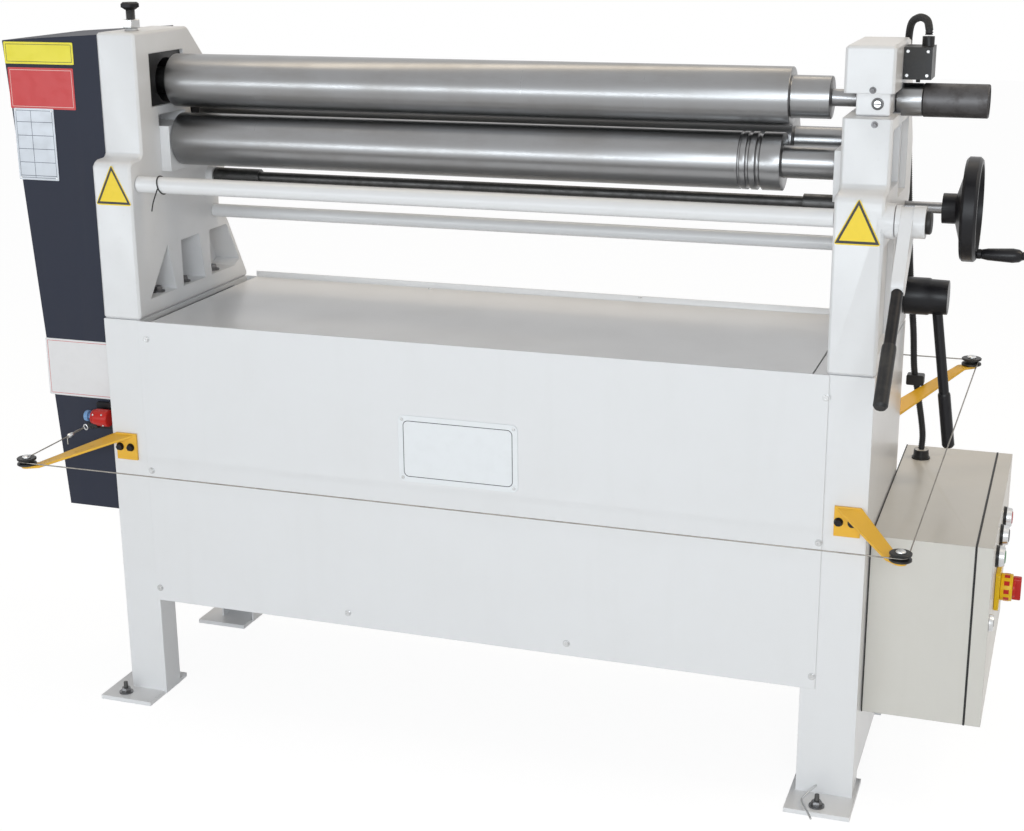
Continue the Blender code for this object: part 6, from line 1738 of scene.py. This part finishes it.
@dataclass
class Studio:
    """Camera at the photograph's place, plain floor, soft lamps and a white surround."""

    place: Point = (0.92335, -2.624507, 1.3757)
    yaw: float = 19.2
    pitch: float = 16.7
    roll: float = -0.5
    lens: float = 59.19
    aim: Point = (0.0, 0.0, 0.7)
    surround: float = 0.30
    floor_half: float = 12.0
    glow: float = 1.10
    glow_share: float = 0.84
    lamps: tuple = (((1.2, -3.7, 1.7), (1.5, 1.3), 46.0, (0.88, 0.95, 1.0)),
                    ((-1.3, -4.4, 0.8), (4.8, 0.5), 56.0, (0.90, 0.96, 1.0)),
                    ((-0.8, 0.8, 3.6), (3.6, 0.7), 20.0, (1.0, 0.84, 0.62)),
                    ((2.6, 0.3, 3.2), (1.2, 1.2), 24.0, (1.0, 0.84, 0.62)))

    def camera(self) -> None:
        """Sets the camera."""
        yaw, pitch, roll = (math.radians(value) for value in (self.yaw, self.pitch, self.roll))
        forward = Vector((-math.sin(yaw) * math.cos(pitch), math.cos(yaw) * math.cos(pitch),
                          -math.sin(pitch)))
        right = Vector((math.cos(yaw), math.sin(yaw), 0))
        up = right.cross(forward)
        across = right * math.cos(roll) + up * math.sin(roll)
        above = up * math.cos(roll) - right * math.sin(roll)
        data = bpy.data.cameras.new("studio_camera")
        data.lens = self.lens
        data.sensor_width = SENSOR_WIDTH
        data.clip_end = FAR_CLIP
        made = linked("studio_camera", data)
        made.matrix_world = Matrix((across, above, -forward)).transposed().to_4x4()
        made.matrix_world.translation = Vector(self.place)
        bpy.context.scene.camera = made

    def floor(self) -> None:
        """A large pale floor that stays white to the eye and keeps the machine's shadow."""
        shape = bmesh.new()
        signs = ((-1, -1), (1, -1), (1, 1), (-1, 1))
        shape.faces.new([shape.verts.new((x * self.floor_half, y * self.floor_half, 0)) for x, y in signs])
        made = linked("studio_floor", kept("studio_floor", shape))
        graph = Graph("studio_floor")
        graph.surface(Base_Color=(0.86, 0.86, 0.86, 1.0), Roughness=0.6)
        rays = graph.tree.nodes.new("ShaderNodeLightPath")
        camera, glossy, through = (Signal(graph, rays.outputs[label]) for label in EYE_RAYS)
        seen = camera.greater(glossy).greater(through)
        glow = graph.node("ShaderNodeEmission", {}, {"Color": (1, 1, 1, 1), "Strength": self.glow})
        mixed = graph.node("ShaderNodeMixShader", {},
                           {0: seen * self.glow_share, 1: Signal(graph, graph.shader.outputs[0]), 2: glow})
        graph.tree.links.new(mixed.socket, graph.tree.nodes["Material Output"].inputs["Surface"])
        made.data.materials.append(graph.material)

    def world(self) -> None:
        """White to the eye, to metal and to glass; a soft even light otherwise."""
        world = bpy.data.worlds.new("studio_surround")
        bpy.context.scene.world = world
        world.use_nodes = True
        tree = world.node_tree
        background = tree.nodes["Background"]
        rays = tree.nodes.new("ShaderNodeLightPath")
        total = rays.outputs[EYE_RAYS[0]]
        for name in EYE_RAYS[1:]:
            either = tree.nodes.new("ShaderNodeMath")
            either.operation = "MAXIMUM"
            tree.links.new(total, either.inputs[0])
            tree.links.new(rays.outputs[name], either.inputs[1])
            total = either.outputs[0]
        level = tree.nodes.new("ShaderNodeMapRange")
        level.inputs["To Min"].default_value = self.surround
        level.inputs["To Max"].default_value = 1.0
        tree.links.new(total, level.inputs["Value"])
        tree.links.new(level.outputs[0], background.inputs["Strength"])
        background.inputs["Color"].default_value = (1, 1, 1, 1)

    def lights(self) -> None:
        """Soft area lamps."""
        for index, (place, size, power, colour) in enumerate(self.lamps):
            data = bpy.data.lights.new(f"soft_lamp_{index + 1}", "AREA")
            data.shape = "RECTANGLE"
            data.size, data.size_y = size
            data.energy = power
            data.color = colour
            made = linked(data.name, data)
            made.location = place
            made.rotation_euler = (Vector(self.aim) - Vector(place)).to_track_quat("-Z", "Y").to_euler()

    def build(self) -> None:
        """Builds the studio."""
        bpy.context.scene.view_settings.view_transform = "Standard"
        self.camera()
        self.floor()
        self.world()
        self.lights()


COPIES = (
    Sheets("frame", "frame_paint", WHITE_CASTING, 0.0022, ("left_side_casting", "right_side_casting")),
    Sheets("frame", "frame_paint", WHITE_PAINT, 0.0008,
           ("left_stand_side", "right_stand_side", "front_panel", "rear_panel", "table_top")),
    Sheets("frame", "frame_paint", WHITE_PAINT, 0.0006, ("rear_tie_tube",)),
    Sheets("frame", "cast_black", BLACK_CASTING, 0.0006, ("pivot_housing",)),
    Sheets("frame", "bronze", BRONZE, 0.0003, ("gear_bush",)),
    Sheets("frame", "dark_steel", DARK_STEEL, 0.0004, ("drive_plate",)),
    Sheets("frame", "motor_grey", MOTOR_PAINT, 0.0010, ("gearmotor",)),
    Sheets("frame", "cover_paint", DARK_PAINT, 0.0012, ("gear_cover",)),
    Sheets("frame", "cabinet_paint", CABINET_PAINT, 0.0010, ("control_box",)),
    Sheets("frame", "black_plastic", BLACK_PLASTIC, 0.0006, ("switchgear", "limit_switch")),
    Sheets("top_swing", "frame_paint", WHITE_PAINT, 0.0008, ("top_bearing_block",)),
    Sheets("top_drive", "dark_steel", DARK_STEEL, 0.0003, ("top_gear",)),
    Sheets("motor_pinion", "dark_steel", DARK_STEEL, 0.0003, ("motor_pinion",)),
    Sheets("lower_slide", "frame_paint", WHITE_PAINT, 0.0006, ("lower_left_block", "lower_right_block")),
    Sheets("lower_roll", "dark_steel", DARK_STEEL, 0.0003, ("lower_gear",)),
    Sheets("pinch_lever", "frame_paint", WHITE_PAINT, 0.0006, ("pinch_shaft", "pinch_lever")),
    Sheets("pinch_lever", "dark_steel", BLACK_OXIDE, 0.0004, ("pinch_rod",)),
    Sheets("pinch_lever", "black_plastic", GRIP_PLASTIC, 0.0010, ("pinch_grip",)),
    Sheets("rear_slide", "dark_steel", BLACK_CASTING, 0.0006, ("rear_left_block", "rear_right_block")),
    Sheets("right_nut", "dark_steel", DARK_STEEL, 0.0003, ("right_mitre_nut",)),
    Sheets("left_nut", "dark_steel", DARK_STEEL, 0.0003, ("left_mitre_nut",)),
    Sheets("cross_shaft", "dark_steel", DARK_STEEL, 0.0004, ("cross_shaft",)),
    Sheets("handwheel", "dark_steel", NECK_STEEL, 0.0004, ("handwheel_shaft",)),
    Sheets("handwheel", "dark_steel", BLACK_OXIDE, 0.0004, ("crank_pin",)),
    Sheets("handwheel", "cast_black", BLACK_PAINT, 0.0010, ("handwheel",)),
    Sheets("crank_grip", "black_plastic", BLACK_PAINT, 0.0006, ("crank_grip",)),
    Sheets("release_lever", "cast_black", BLACK_PAINT, 0.0008, ("release_lever",)),
    Sheets("box_door", "cabinet_paint", CABINET_PAINT, 0.0010, ("box_door",)),
    Sheets("box_door", "safety_yellow", YELLOW_PLASTIC, 0.0012, ("switch_base",)),
    Sheets("rope_knob", "reset_blue", BLUE_PLASTIC, 0.0005, ("rope_reset_knob",)),
)


def main() -> None:
    """Builds the studio and the dressed machine."""
    logging.basicConfig(level=logging.INFO, format="%(name)s: %(message)s")
    Studio().build()
    screws = fastener_tree()
    for copy in COPIES:
        copy.build()
    RollSet().build()
    FrontDress(screws).build()
    CoverDress(screws).build()
    CabinetDress().build()
    Hose(conduit_tree()).build()
    TripGuard(screws).build()
    TopDress(screws).build()


if __name__ == "__main__":
    main()
